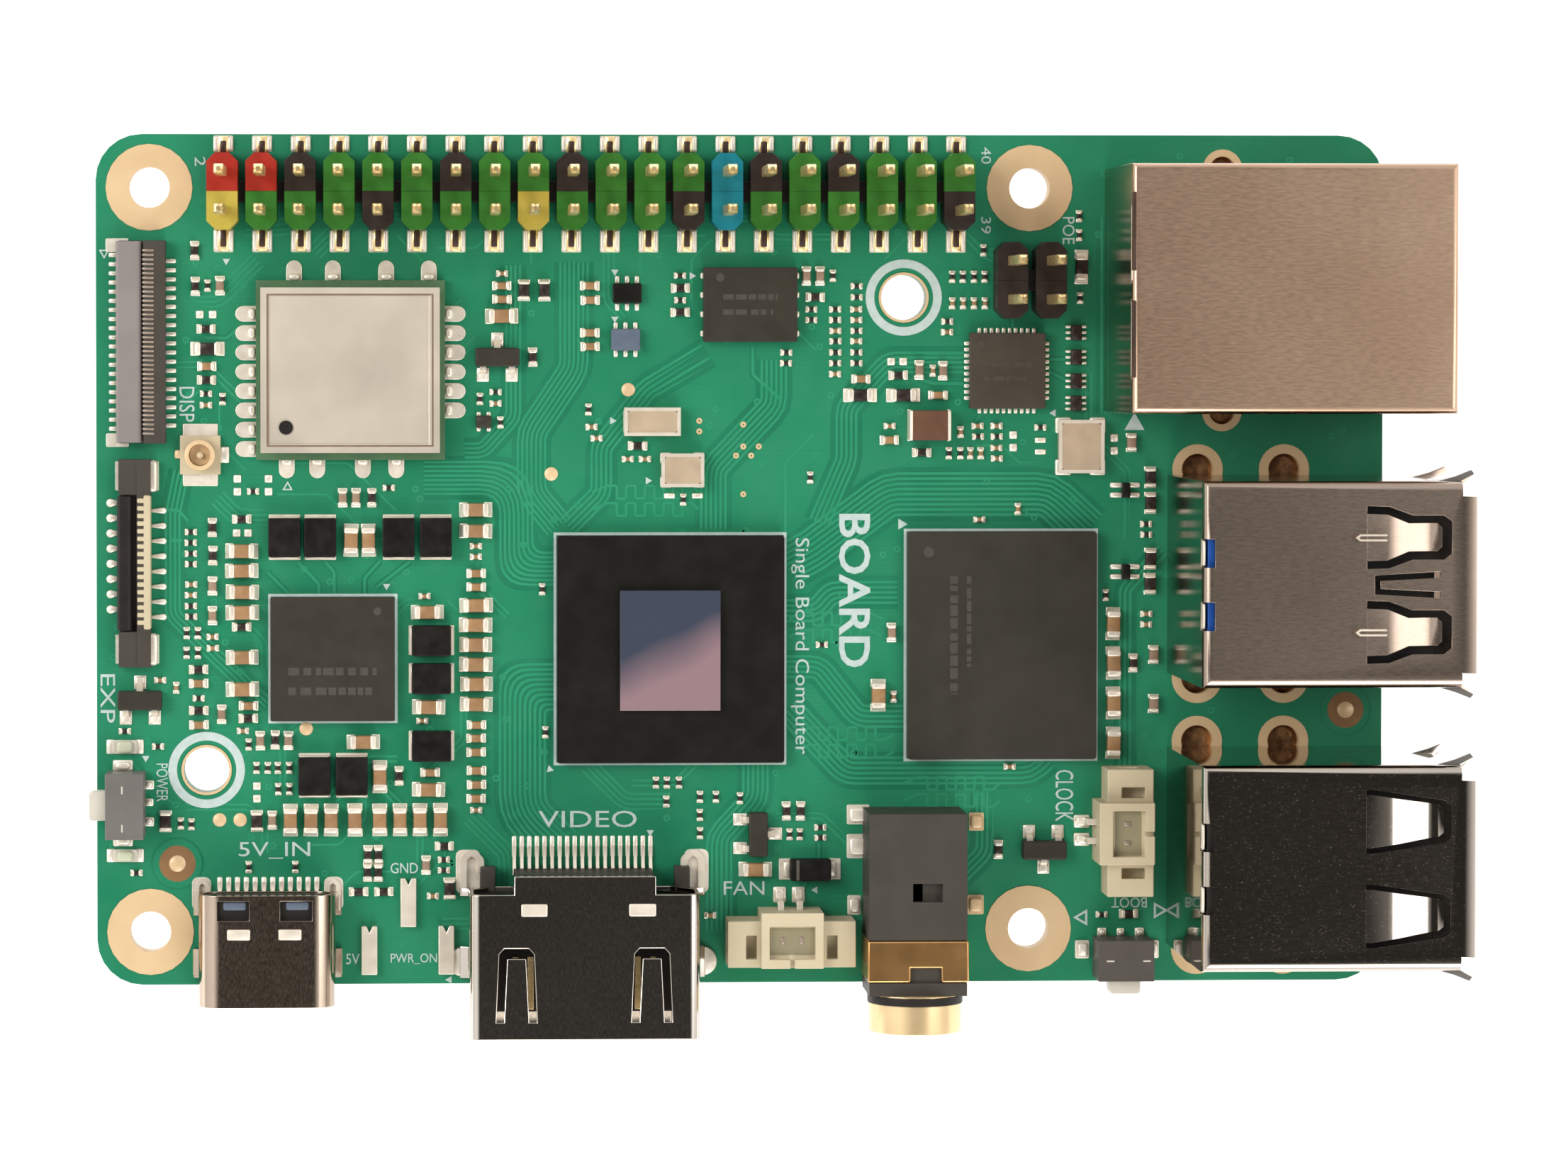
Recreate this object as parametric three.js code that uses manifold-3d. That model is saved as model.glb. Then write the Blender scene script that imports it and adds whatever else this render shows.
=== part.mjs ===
// Single board computer: a credit-card sized circuit board with its connectors, chips,
// push buttons and flip latches. Millimetres, +Z up, +X along the long side.
// Layout coordinates are measured from the board's lower left corner, on its top face.

import * as THREE from 'three';
import Module from 'manifold-3d';
import { mergeVertices } from 'three/addons/utils/BufferGeometryUtils.js';

// ---------------------------------------------------------------- driving dimensions

const board = { length: 85, width: 56, thickness: 1.6, corner: 3 };
const mounting = { inset: 3.5, spanX: 58, spanY: 49, bore: 1.35, pad: 2.85, hole: 1.6, foil: 0.05 };
const coolerHoles = [[7.2, 14.17], [53.18, 45.28]];
const coolerHoleRadius = 1.5;
const underside = 1.45; // depth of the solder tails and the card socket below the board
const pinPitch = 2.54;

const usb = {
  back: 70.7, length: 16.5, halfWidth: 6.55, height: 15.9, sheet: 0.3, bend: 0.6,
  floor: 1.5, opening: 5.1, legs: [2.0, 7.75], legHole: 1.15, legHoleY: 6.9,
};
const usbCentres = { usb_a: 27.0, usb_b: 9.0 };
const lan = {
  back: 66.5, centre: 45.75, length: 20.9, halfWidth: 7.975, height: 13.5, sheet: 0.25,
  bend: 0.45, leg: 7.8, legHole: 0.95,
};
const video = { centre: 31.95, front: -2.95, length: 9.45, halfWidth: 7.5, top: 6.2, sheet: 0.3 };
const power = { centre: 11.2, front: -1.15, length: 7.35, halfWidth: 4.47, low: 0.2, top: 3.36 };
const audio = { centre: 53.7, front: -0.3, length: 11.9, halfWidth: 3.2, height: 5.4, axis: 3.0 };

// ---------------------------------------------------------------- geometry helpers

const wasm = await Module();
wasm.setup();

// Points along an arc, angles in degrees.
function arc(x, y, radius, from, to, steps) {
  return Array.from({ length: steps + 1 }, (_, i) => {
    const angle = THREE.MathUtils.degToRad(from + ((to - from) * i) / steps);
    return new THREE.Vector2(x + radius * Math.cos(angle), y + radius * Math.sin(angle));
  });
}

function circle(x, y, radius, steps) {
  return arc(x, y, radius, 0, 360 - 360 / steps, steps - 1);
}

function points(...pairs) {
  return pairs.map(([x, y]) => new THREE.Vector2(x, y));
}

// Rectangle with a radius for each corner: low left, low right, high right, high left.
function roundRect(x0, y0, x1, y1, radii, steps = 3) {
  const corners = [[x0, y0, 1, 1, 180], [x1, y0, -1, 1, 270], [x1, y1, -1, -1, 0], [x0, y1, 1, -1, 90]];
  return corners.flatMap(([x, y, sx, sy, from], i) => {
    const radius = radii[i] ?? 0;
    if (radius === 0) return points([x, y]);
    return arc(x + sx * radius, y + sy * radius, radius, from, from + 90, steps);
  });
}

function extrude(outline, depth, holes = []) {
  const shape = new THREE.Shape(outline);
  shape.holes = holes.map((hole) => new THREE.Path(hole));
  return new THREE.ExtrudeGeometry(shape, { depth, bevelEnabled: false });
}

// Outline drawn in X and Y, extruded along Z.
function prismZ(outline, z0, z1, holes = []) {
  return extrude(outline, z1 - z0, holes).translate(0, 0, z0);
}

// Outline drawn in Y and Z, extruded along X.
function prismX(outline, x0, x1) {
  const turn = new THREE.Matrix4().set(0, 0, 1, x0, 1, 0, 0, 0, 0, 1, 0, 0, 0, 0, 0, 1);
  return extrude(outline, x1 - x0).applyMatrix4(turn);
}

// Outline drawn in X and Z, extruded along Y.
function prismY(outline, y0, y1) {
  const turn = new THREE.Matrix4().set(1, 0, 0, 0, 0, 0, -1, y1, 0, 1, 0, 0, 0, 0, 0, 1);
  return extrude(outline, y1 - y0).applyMatrix4(turn);
}

function box(x0, x1, y0, y1, z0, z1) {
  return prismZ(points([x0, y0], [x1, y0], [x1, y1], [x0, y1]), z0, z1);
}

function solid(shape) {
  if (!(shape instanceof THREE.BufferGeometry)) return shape;
  const plain = shape.clone();
  plain.deleteAttribute('normal');
  plain.deleteAttribute('uv');
  const merged = mergeVertices(plain, 1e-4);
  return new wasm.Manifold(new wasm.Mesh({
    numProp: 3,
    vertProperties: merged.attributes.position.array,
    triVerts: new Uint32Array(merged.index.array),
  }));
}

function join(...shapes) {
  return shapes.map(solid).reduce((whole, piece) => whole.add(piece));
}

function cut(base, ...tools) {
  return tools.map(solid).reduce((whole, tool) => whole.subtract(tool), solid(base));
}

function common(first, second) {
  return solid(first).intersect(solid(second));
}

function geometryOf(manifold) {
  const mesh = manifold.getMesh();
  const geometry = new THREE.BufferGeometry();
  geometry.setAttribute('position', new THREE.BufferAttribute(mesh.vertProperties, 3));
  geometry.setIndex(new THREE.BufferAttribute(mesh.triVerts, 1));
  geometry.computeVertexNormals();
  return geometry;
}

// ---------------------------------------------------------------- finishes

function finish(color, roughness, metalness = 0) {
  return new THREE.MeshStandardMaterial({ color, roughness, metalness });
}

const finishes = {
  solderMask: finish(0x2d8c64, 0.35),
  gold: finish(0xe0b98a, 0.3, 1),
  tin: finish(0xc9bfae, 0.3, 1),
  shield: finish(0x9a8573, 0.35, 1),
  blackPlastic: finish(0x2b2724, 0.5),
  epoxy: finish(0x3c3833, 0.6),
  silicon: finish(0x4b525e, 0.15, 0.6),
  bluePlastic: finish(0x1c4a8c, 0.45),
  creamPlastic: finish(0xe3d2b4, 0.5),
  greyPlastic: finish(0x97908b, 0.5),
  laminate: finish(0x1e3f33, 0.5),
  lens: finish(0xd8dcc0, 0.3),
  whitePlastic: finish(0xdad5cc, 0.5),
};

function piece(name, shape, material) {
  const geometry = shape instanceof THREE.BufferGeometry ? shape : geometryOf(shape);
  const mesh = new THREE.Mesh(geometry, material);
  mesh.name = name;
  return mesh;
}

// A group of pieces standing on the board's top face, turned about Z by some degrees.
function stand(x, y, turn, ...pieces) {
  const group = new THREE.Group();
  group.position.set(x, y, board.thickness);
  group.rotation.z = THREE.MathUtils.degToRad(turn);
  group.add(...pieces);
  return group;
}

// ---------------------------------------------------------------- board and mounts

const mountCentres = [0, 1].flatMap((row) => [0, 1].map((column) => [
  mounting.inset + column * mounting.spanX,
  mounting.inset + row * mounting.spanY,
]));

function makeBoard() {
  const { length, width, thickness, corner } = board;
  const outline = roundRect(0, 0, length, width, [corner, corner, corner, corner], 6);
  const holes = [
    ...mountCentres.map(([x, y]) => circle(x, y, mounting.hole, 24)),
    ...coolerHoles.map(([x, y]) => circle(x, y, coolerHoleRadius, 24)),
    ...[-1, 1].map((side) => circle(lan.back + lan.leg, lan.centre + side * 8, lan.legHole, 16)),
  ];
  for (const centre of Object.values(usbCentres)) {
    for (const leg of usb.legs) {
      for (const side of [-1, 1]) {
        holes.push(circle(usb.back + leg, centre + side * usb.legHoleY, usb.legHole, 16));
      }
    }
  }
  return piece('circuit_board', prismZ(outline, 0, thickness, holes), finishes.solderMask);
}

// Plated mounting hole: a foil ring on each face, joined by the plated bore.
function makeMountRing(index, [x, y]) {
  const { bore, pad, foil } = mounting;
  const inner = () => [circle(0, 0, bore, 24)];
  const ring = join(
    prismZ(circle(0, 0, bore + 0.1, 24), -foil, board.thickness + foil, inner()),
    prismZ(circle(0, 0, pad, 24), -foil, 0, inner()),
    prismZ(circle(0, 0, pad, 24), board.thickness, board.thickness + foil, inner()),
  );
  const mesh = piece(`mount_ring_${index + 1}`, ring, finishes.gold);
  mesh.position.set(x, y, 0);
  return mesh;
}

// ---------------------------------------------------------------- chips

function chip(name, x, y, sizeX, sizeY, low, high, material, corner = 0) {
  const [a, b] = [sizeX / 2, sizeY / 2];
  const outline = roundRect(-a, -b, a, b, [corner, corner, corner, corner]);
  return stand(x, y, 0, piece(name, prismZ(outline, low, high), material));
}

function makeWirelessModule() {
  const [halfX, halfY] = [6.2, 5.9];
  const carrier = box(-halfX, halfX, -halfY, halfY, 0, 0.6);
  const can = cut(
    prismZ(roundRect(-5.85, -5.4, 5.85, 5.4, [0.5, 0.5, 0.5, 0.5]), 0.6, 2.1),
    box(-5.65, 5.65, -5.2, 5.2, 0.5, 1.9),
    box(-5.45, 5.15, -4.85, 4.95, 2.02, 2.2),
  );
  return stand(16.7, 40.5, 0,
    piece('wireless_carrier', carrier, finishes.laminate),
    piece('wireless_shield', can, finishes.tin));
}

// Quartz crystal: a metal lid on a ceramic base, in one seam-welded piece.
function crystal(name, x, y, sizeX, sizeY) {
  const [a, b] = [sizeX / 2, sizeY / 2];
  const body = join(
    box(-a, a, -b, b, 0, 0.45),
    prismZ(roundRect(-a + 0.18, -b + 0.18, a - 0.18, b - 0.18, [0.3, 0.3, 0.3, 0.3]), 0.3, 0.8),
  );
  return stand(x, y, 0, piece(name, body, finishes.tin));
}

// ---------------------------------------------------------------- pin headers

// Two rows of square pins in eight-sided insulator cells that join along a low web.
function pinHeader(name, x, y, columns) {
  const cell = { halfX: 1.1, halfY: 1.2, corner: 0.42, height: 2.54 };
  const pin = { half: 0.32, shoulder: 8.1, tip: 8.6, tipHalf: 0.15 };
  const { halfX: a, halfY: b, corner: c } = cell;
  const octagon = points([a, -b + c], [a, b - c], [a - c, b], [-a + c, b],
    [-a, b - c], [-a, -b + c], [-a + c, -b], [a - c, -b]);
  const reach = (columns - 1) * pinPitch / 2;
  const shapes = [box(-reach - 0.6, reach + 0.6, -1.6, 1.6, 0.3, 1.9)];
  for (let column = 0; column < columns; column += 1) {
    for (const side of [-1, 1]) {
      const [px, py] = [column * pinPitch - reach, side * pinPitch / 2];
      const tip = new THREE.CylinderGeometry(pin.tipHalf * Math.SQRT2, pin.half * Math.SQRT2,
        pin.tip - pin.shoulder, 4);
      tip.rotateY(Math.PI / 4).rotateX(Math.PI / 2);
      shapes.push(
        prismZ(octagon, 0, cell.height).translate(px, py, 0),
        box(-pin.half, pin.half, -pin.half, pin.half, 1, pin.shoulder).translate(px, py, 0),
        tip.translate(px, py, (pin.tip + pin.shoulder) / 2),
      );
    }
  }
  return stand(x, y, 0, piece(name, join(...shapes), finishes.blackPlastic));
}

// ---------------------------------------------------------------- network jack

function makeNetworkJack() {
  const { length, halfWidth: half, height, sheet, bend, leg } = lan;
  const inside = half - sheet;
  const legs = [-1, 1].map((side) => {
    const [y0, y1] = side > 0 ? [inside, half] : [-half, -inside];
    return box(leg - 0.7, leg + 0.7, y0, y1, -board.thickness - underside, 1);
  });
  const window = { y0: 4.3, y1: 7.2, z0: 0.8, z1: 3.2 };
  const windows = [-1, 1].map((side) => {
    const [y0, y1] = side > 0 ? [window.y0, window.y1] : [-window.y1, -window.y0];
    return { y0, y1, z0: window.z0, z1: window.z1 };
  });
  const outer = common(
    prismX(roundRect(-half, 0, half, height, [0, 0, bend, bend]), 0, length),
    prismY(roundRect(0, 0, length, height, [0, 0, bend, bend]), -half, half),
  );
  const mouth = join(
    box(length - 12, length + 1, -5.9, 5.9, 3.6, 10.4),
    box(length - 9, length + 1, -3.1, 3.1, 2.2, 3.7),
    box(length - 7, length + 1, -2.0, 2.0, 1.0, 2.3),
  );
  const slots = [-3.2, 2.9].map((y) => box(-1, 0.45, y - 2.55, y + 2.55, height - 0.75, height - 0.3));
  const shield = join(cut(
    outer,
    box(sheet, length - sheet, -inside, inside, -1, height - sheet),
    mouth,
    ...windows.map((w) => box(length - 1, length + 1, w.y0, w.y1, w.z0, w.z1)),
    ...slots,
  ), ...legs);
  const gap = 0.05;
  const housing = cut(
    box(sheet + gap, length - sheet - gap, -inside + gap, inside - gap, 0, height - sheet - gap),
    mouth,
    ...windows.map((w) => box(length - 3, length + 1, w.y0, w.y1, w.z0, w.z1)),
    ...slots,
  );
  const lenses = windows.map((w, i) => piece(`network_indicator_${i + 1}`,
    box(length - 2.9, length - 0.1, w.y0 + 0.1, w.y1 - 0.1, w.z0 + 0.1, w.z1 - 0.1),
    finishes.lens));
  const wireSlope = points([length - 11.6, 8.0], [length - 11.0, 8.0], [length - 4.4, 10.0],
    [length - 4.4, 10.3], [length - 11.6, 8.5]);
  const wires = Array.from({ length: 8 }, (_, i) => {
    const y = (i - 3.5) * 1.02;
    return prismY(wireSlope, y - 0.18, y + 0.18);
  });
  const carrier = box(length - 11.7, length - 11.2, -4.3, 4.3, 7.9, 8.7);
  return stand(lan.back, lan.centre, 0,
    piece('network_shield', shield, finishes.shield),
    piece('network_housing', housing, finishes.blackPlastic),
    piece('network_contacts', join(carrier, ...wires), finishes.gold),
    ...lenses);
}

// ---------------------------------------------------------------- stacked serial ports

// Outline symmetric about a line along X, from its upper half, listed from low to high X.
function mirrored(centre, upper) {
  const high = upper.map(([x, y]) => new THREE.Vector2(x, centre + y));
  const low = upper.map(([x, y]) => new THREE.Vector2(x, centre - y));
  return [...low, ...high.reverse()];
}

// How far a roof spring sinks below the roof, at distances past its root.
const springSink = [[-0.2, 0], [1.4, 0.02], [2.2, 0.14], [3.0, 0.4], [3.6, 0.62], [4.2, 0.74],
  [4.7, 0.7], [5.4, 0.42]];

// Contact spring in the shell's roof: the window that frees it, and the finger itself,
// which dips towards the plug and rises again at its tip. A waisted spring steps in half way
// along; a tapered one narrows evenly between two thin slots.
function roofSpring(centre, waisted) {
  const { length, height: top } = usb;
  const [root, tip] = [length - 6.1, length - 0.7];
  const slot = waisted ? 0.5 : 0.35;
  const windowOutline = waisted
    ? mirrored(centre, [[root, 2.0], [root + 1.4, 1.95], [root + 2.9, 1.4], [tip - 0.5, 1.4], [tip, 1.0]])
    : mirrored(centre, [[root, 2.0], [root + 0.3, 2.05], [tip - 0.4, 1.35], [tip, 1.05]]);
  const fingerOutline = waisted
    ? mirrored(centre, [[root - 0.1, 1.5], [root + 1.3, 1.45], [root + 2.7, 0.9], [tip - slot - 0.3, 0.9],
      [tip - slot, 0.6]])
    : mirrored(centre, [[root - 0.1, 1.66], [root + 0.3, 1.7], [tip - slot - 0.3, 1.02], [tip - slot, 0.75]]);
  const sheet = 0.25;
  const upper = springSink.map(([x, sink]) => new THREE.Vector2(root + x, top - sink));
  const lower = upper.map((p) => new THREE.Vector2(p.x, p.y - sheet));
  const dip = [...lower, ...upper.reverse()];
  return {
    window: prismZ(windowOutline, top - 0.45, top + 1),
    finger: common(prismZ(fingerOutline, top - 2, top + 1), prismY(dip, centre - 3, centre + 3)),
  };
}

// Slot round three sides of the small tongue in the middle of the roof.
function tongueSlot() {
  const { length, height: top } = usb;
  const [near, far] = [length - 5.6, length - 1.4];
  const outer = mirrored(0, [[near, 0.6], [far, 0.85]]);
  const inner = mirrored(0, [[near + 0.35, 0.25], [far + 0.1, 0.45]]);
  return cut(prismZ(outer, top - 0.5, top + 1), prismZ(inner, top - 1, top + 2));
}

// Lips at the shell's mouth, which flare away from it and guide the plug in.
function mouthLips() {
  const { length, halfWidth: half, height, sheet } = usb;
  const [root, tip] = [length - 0.3, length + 0.9];
  const roofLip = points([root, height - sheet], [length, height - sheet], [tip, height + 0.1],
    [tip - 0.15, height + 0.4], [length - 0.1, height], [root, height]);
  const sideLip = points([root - 1.1, half - 0.2], [length, half - sheet], [tip, half + 0.45],
    [tip - 0.2, half + 0.7], [length - 0.3, half + 0.3], [root - 1.1, half]);
  const otherLip = sideLip.map((p) => new THREE.Vector2(p.x, -p.y)).reverse();
  const levels = [[2.2, 6.2], [10.9, 14.9]];
  return [
    prismY(roofLip, -5.6, 5.6),
    ...levels.flatMap(([z0, z1]) => [prismZ(sideLip, z0, z1), prismZ(otherLip, z0, z1)]),
  ];
}

function makeUsbStack(name, centre, plastic, waisted) {
  const { length, halfWidth: half, height, sheet, bend, floor, opening, legs } = usb;
  const inside = half - sheet;
  const upperFloor = height - sheet - opening;
  const springs = [-3, 3].map((y) => roofSpring(y, waisted));
  const outer = common(
    prismX(roundRect(-half, 0, half, height, [0, 0, bend, bend]), 0, length),
    prismY(roundRect(0, 0, length, height, [0, 0, 0, bend]), -half, half),
  );
  const legPlates = legs.flatMap((x) => [-1, 1].map((side) => {
    const [y0, y1] = side > 0 ? [inside, half] : [-half, -inside];
    return box(x - 0.8, x + 0.8, y0, y1, -board.thickness - underside, 1);
  }));
  const shell = join(
    cut(outer,
      box(sheet, length + 1, -inside, inside, -1, height - sheet),
      ...[-2, 2].map((y) => box(-1, 0.75, y - 0.9, y + 0.9, height - 1.1, height + 1)),
      ...(waisted ? [tongueSlot()] : []),
      ...springs.map((spring) => spring.window)),
    box(6, length, -inside - 0.1, inside + 0.1, floor - sheet, floor),
    ...springs.map((spring) => spring.finger),
    ...mouthLips(),
    ...legPlates,
  );
  const gap = 0.05;
  const [low, high] = [floor + opening, upperFloor];
  const divider = cut(
    box(3.4, length, -inside + gap, inside - gap, low, high),
    box(3, length - sheet, -inside + 0.3, inside - 0.3, low + sheet, high - sheet),
  );
  const insert = (base, roof, tongue) => join(
    box(sheet + gap, 3.3, -inside + gap, inside - gap, base, roof),
    box(3, length - 1.6, -5.6, 5.6, tongue, tongue + 1.84),
  );
  return stand(usb.back, centre, 0,
    piece(`${name}_shell`, shell, finishes.shield),
    piece(`${name}_divider`, divider, finishes.tin),
    piece(`${name}_upper_insert`, insert(8.5, height - sheet - gap, high + 2.5), plastic),
    piece(`${name}_lower_insert`, insert(0.1, 8.4, floor + 2.5), plastic));
}

// ---------------------------------------------------------------- ports on the long side

// Solder leg: a strip down a port's side with a foot that turns outwards.
function sideLegs(halfWidth, spans, top, reach) {
  return spans.flatMap(([y0, y1]) => [-1, 1].map((side) => {
    const leg = points([halfWidth - 0.3, 0], [halfWidth + reach, 0], [halfWidth + reach, 0.3],
      [halfWidth, 0.5], [halfWidth, top], [halfWidth - 0.3, top]);
    const outline = side > 0 ? leg : leg.map((p) => new THREE.Vector2(-p.x, p.y)).reverse();
    return prismY(outline, y0, y1);
  }));
}

function makeVideoPort() {
  const { length, halfWidth: half, top, sheet, centre, front } = video;
  const bend = 0.7;
  const tube = (inset, width) => [
    new THREE.Vector2(width - 1.4, 0.5 + inset),
    new THREE.Vector2(width, 2.6),
    ...arc(width - bend, top - inset - bend, bend, 0, 90, 3),
    ...arc(-width + bend, top - inset - bend, bend, 90, 180, 3),
    new THREE.Vector2(-width, 2.6),
    new THREE.Vector2(-width + 1.4, 0.5 + inset),
  ];
  const slots = [-4.45, 4.35].map((x) => {
    const outer = points([x - 1.32, 1.15], [x + 1.32, 1.15], [x + 1.12, 5.6], [x + 0.8, 5.95],
      [x - 0.8, 5.95], [x - 1.12, 5.6]);
    const finger = points([x - 0.82, 1], [x + 0.82, 1], [x + 0.62, 5.3], [x - 0.62, 5.3]);
    return cut(prismZ(outer, top - 0.5, top + 1), prismZ(finger, top - 1, top + 2));
  });
  const shell = join(
    cut(prismY(tube(0, half), 0, length),
      prismY(tube(sheet, half - sheet), -1, length + 1), ...slots),
    box(-4.6, 4.6, length - 0.5, length + 1.2, top - sheet, top),
    ...sideLegs(half, [[3.35, 5.45], [8.75, 9.3]], 3.2, 0.6),
  );
  const insert = join(
    prismY(tube(sheet + 0.05, half - sheet - 0.05), 6.4, length - 0.3),
    box(-4.55, 4.55, length - 0.6, length + 1.15, 0.9, top - sheet - 0.05),
    box(-4.55, 4.55, length + 0.05, length + 1.15, 0.1, 1),
    box(-5.9, 5.9, 1.6, 6.6, 2.9, 4.1),
  );
  return stand(centre, front, 0,
    piece('video_shell', shell, finishes.tin),
    piece('video_insert', insert, finishes.blackPlastic));
}

function makePowerPort() {
  const { length, halfWidth: half, low, top, centre, front } = power;
  const stadium = (inset) => {
    const radius = 1.45 - inset;
    return roundRect(-half + inset, low + inset, half - inset, top - inset,
      [radius, radius, radius, radius], 4);
  };
  const windows = [-2.15, 1.95].map((x) => box(x - 1.05, x + 1.05, 5.7, 7.0, top - 0.5, top + 1));
  const shell = join(
    cut(prismY(stadium(0), 0, length), prismY(stadium(0.3), -1, length + 1), ...windows),
    ...sideLegs(half, [[1.65, 3.55], [5.75, 7.3]], 1.9, 0.4),
  );
  const insert = join(
    prismY(stadium(0.35), 5.2, length - 0.1),
    box(-3.3, 3.3, 0.9, 5.4, 1.43, 2.13),
  );
  return stand(centre, front, 0,
    piece('power_port_shell', shell, finishes.tin),
    piece('power_port_insert', insert, finishes.blackPlastic));
}

function makeAudioJack() {
  const { length, halfWidth: half, height, axis, centre, front } = audio;
  const bore = (radius, y0, y1) => prismY(circle(0, axis, radius, 20), y0, y1);
  const recess = box(-0.35, 1.6, 6.15, 7.35, height - 0.6, height + 1);
  const groove = cut(
    box(-half - 1, half + 1, 0.85, 3.65, -1, height + 1),
    box(-half + 0.2, half - 0.2, 0, 5, -2, height - 0.2),
  );
  const body = cut(box(-half, half, 0, length, 0, height), bore(1.85, -1, 10.3), recess, groove);
  const barrel = cut(bore(3.05, -2.5, 0), bore(1.8, -3, 1));
  const saddle = cut(
    box(-half - 0.1, half + 0.1, 0.9, 3.6, 0, height + 0.1),
    box(-half + 0.15, half - 0.15, 0, 5, -1, height - 0.15),
    box(-0.5, 1.5, 0, 1.85, height - 1, height + 1),
  );
  return stand(centre, front, 0,
    piece('audio_body', body, finishes.blackPlastic),
    piece('audio_barrel', barrel, finishes.gold),
    piece('audio_saddle', saddle, finishes.gold));
}

// ---------------------------------------------------------------- two-pin sockets

// Side-entry socket: its mouth faces -Y and its pins leave through the back wall.
function twoPinSocket(name, x, y, turn) {
  const [depth, height, pinX, pinZ] = [3.65, 3.9, 0.625, 1.75];
  const ear = { reach: 4.2, depth: 3.05, height: 3.2 };
  const housing = cut(
    join(
      box(-2.05, 2.05, 0, depth, 0, height),
      box(-ear.reach, ear.reach, 0, ear.depth, 0, ear.height),
    ),
    box(-1.7, 1.7, -1, 3.0, 0.7, 3.1),
    box(-1.5, 1.5, 0.6, 2.75, 3.4, height + 1),
    box(-0.14, 0.14, -1, 0.7, 3.4, height + 1),
    ...[-1, 1].map((side) => box(side * 2.65 - 0.35, side * 2.65 + 0.35, 0.55, 2.1, 2.2, 5)),
    ...[-1, 1].map((side) => box(side * 4.2 - 0.5, side * 4.2 + 0.5, 0.9, 2.2, 1.1, 2.3)),
    ...[-1, 1].map((side) => box(side * pinX - 0.3, side * pinX + 0.3, 2, 5, pinZ - 0.3, pinZ + 0.3)),
  );
  const pinOutline = points([0.6, pinZ - 0.15], [3.9, pinZ - 0.15], [4.0, 0], [4.9, 0],
    [4.9, 0.25], [4.3, 0.25], [4.2, pinZ + 0.15], [0.6, pinZ + 0.15]);
  const pins = [-1, 1].map((side, i) => piece(`${name}_pin_${i + 1}`,
    prismX(pinOutline, side * pinX - 0.2, side * pinX + 0.2), finishes.tin));
  return stand(x, y, turn, piece(`${name}_housing`, housing, finishes.creamPlastic), ...pins);
}

// Miniature coaxial socket: a plastic base with a centre post, inside a metal ring.
function makeAntennaSocket() {
  const base = join(
    box(-1.33, 1.33, -1.28, 1.28, 0, 0.35),
    prismZ(circle(0, 0, 0.22, 10), 0.3, 0.95),
  );
  const ring = prismZ(circle(0, 0, 1.0, 20), 0.35, 1.25, [circle(0, 0, 0.72, 20)]);
  return stand(6.83, 34.93, 0,
    piece('antenna_base', base, finishes.whitePlastic),
    piece('antenna_ring', ring, finishes.gold));
}

// ---------------------------------------------------------------- flat cable sockets

// Flat cable socket with a flip latch, mouth facing -X. The latch's heel is round about
// its pivot, so that it turns clear of the housing. Returns the two pieces and the pivot.
function flatCableSocket(name, x, y, size) {
  const { length, latchLength, latchDepth, blockFrom, depth, height, latch } = size;
  const heel = 0.36;
  const pivot = { x: latchDepth - heel, z: height - heel - 0.02 };
  const ends = [-1, 1].map((side) => {
    const [y0, y1] = side > 0 ? [latchLength / 2 + 0.1, length / 2] : [-length / 2, -latchLength / 2 - 0.1];
    return box(0.1, blockFrom + 0.3, y0, y1, 0, height - 0.1);
  });
  const housing = join(
    box(0.15, depth, -length / 2, length / 2, 0, 0.25),
    box(blockFrom, depth, -length / 2, length / 2, 0, height),
    ...(length - latchLength > 1 ? ends : []),
  );
  const flap = prismY([
    ...arc(pivot.x, pivot.z, heel, -90, 90, 6),
    new THREE.Vector2(0.15, pivot.z + heel),
    new THREE.Vector2(0, pivot.z + heel - 0.2),
    new THREE.Vector2(0, pivot.z - heel + 0.1),
    new THREE.Vector2(0.1, pivot.z - heel),
  ], -latchLength / 2, latchLength / 2);
  return stand(x, y, 0,
    piece(`${name}_housing`, housing, finishes.blackPlastic),
    piece(`${name}_latch`, flap, latch));
}

// ---------------------------------------------------------------- push buttons

// Side push button, plunger facing -X. The plunger's collar is caught behind the wall.
function pushButton(name, x, y, turn, { depth, width, key, reach }) {
  const [height, wall, keyLow, keyHigh] = [3.0, 0.35, 0.7, 2.3];
  const [half, keyHalf] = [width / 2, key / 2];
  const body = cut(
    box(0, depth, -half, half, 0, height),
    box(wall, 1.5, -keyHalf - 0.35, keyHalf + 0.35, keyLow - 0.3, keyHigh + 0.3),
    box(-1, wall + 0.1, -keyHalf - 0.1, keyHalf + 0.1, keyLow - 0.1, keyHigh + 0.1),
  );
  const plunger = join(
    prismZ(roundRect(-reach, -keyHalf, wall + 0.2, keyHalf, [0.25, 0, 0, 0.25]), keyLow, keyHigh),
    box(wall + 0.1, wall + 0.45, -keyHalf - 0.25, keyHalf + 0.25, keyLow - 0.2, keyHigh + 0.2),
  );
  return stand(x, y, turn,
    piece(`${name}_body`, body, finishes.greyPlastic),
    piece(`${name}_plunger`, plunger, finishes.whitePlastic));
}

// ---------------------------------------------------------------- test tabs and card socket

// Tinned blade with a notched end, which a probe or a clip reaches.
function testTab(name, x, y0, y1) {
  const outline = points([-0.52, y0], [0.52, y0], [0.52, y1], [0.2, y1], [0, y1 - 0.45],
    [-0.2, y1], [-0.52, y1]);
  return stand(x, 0, 0, piece(name, prismZ(outline, 0, 0.5), finishes.tin));
}

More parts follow.
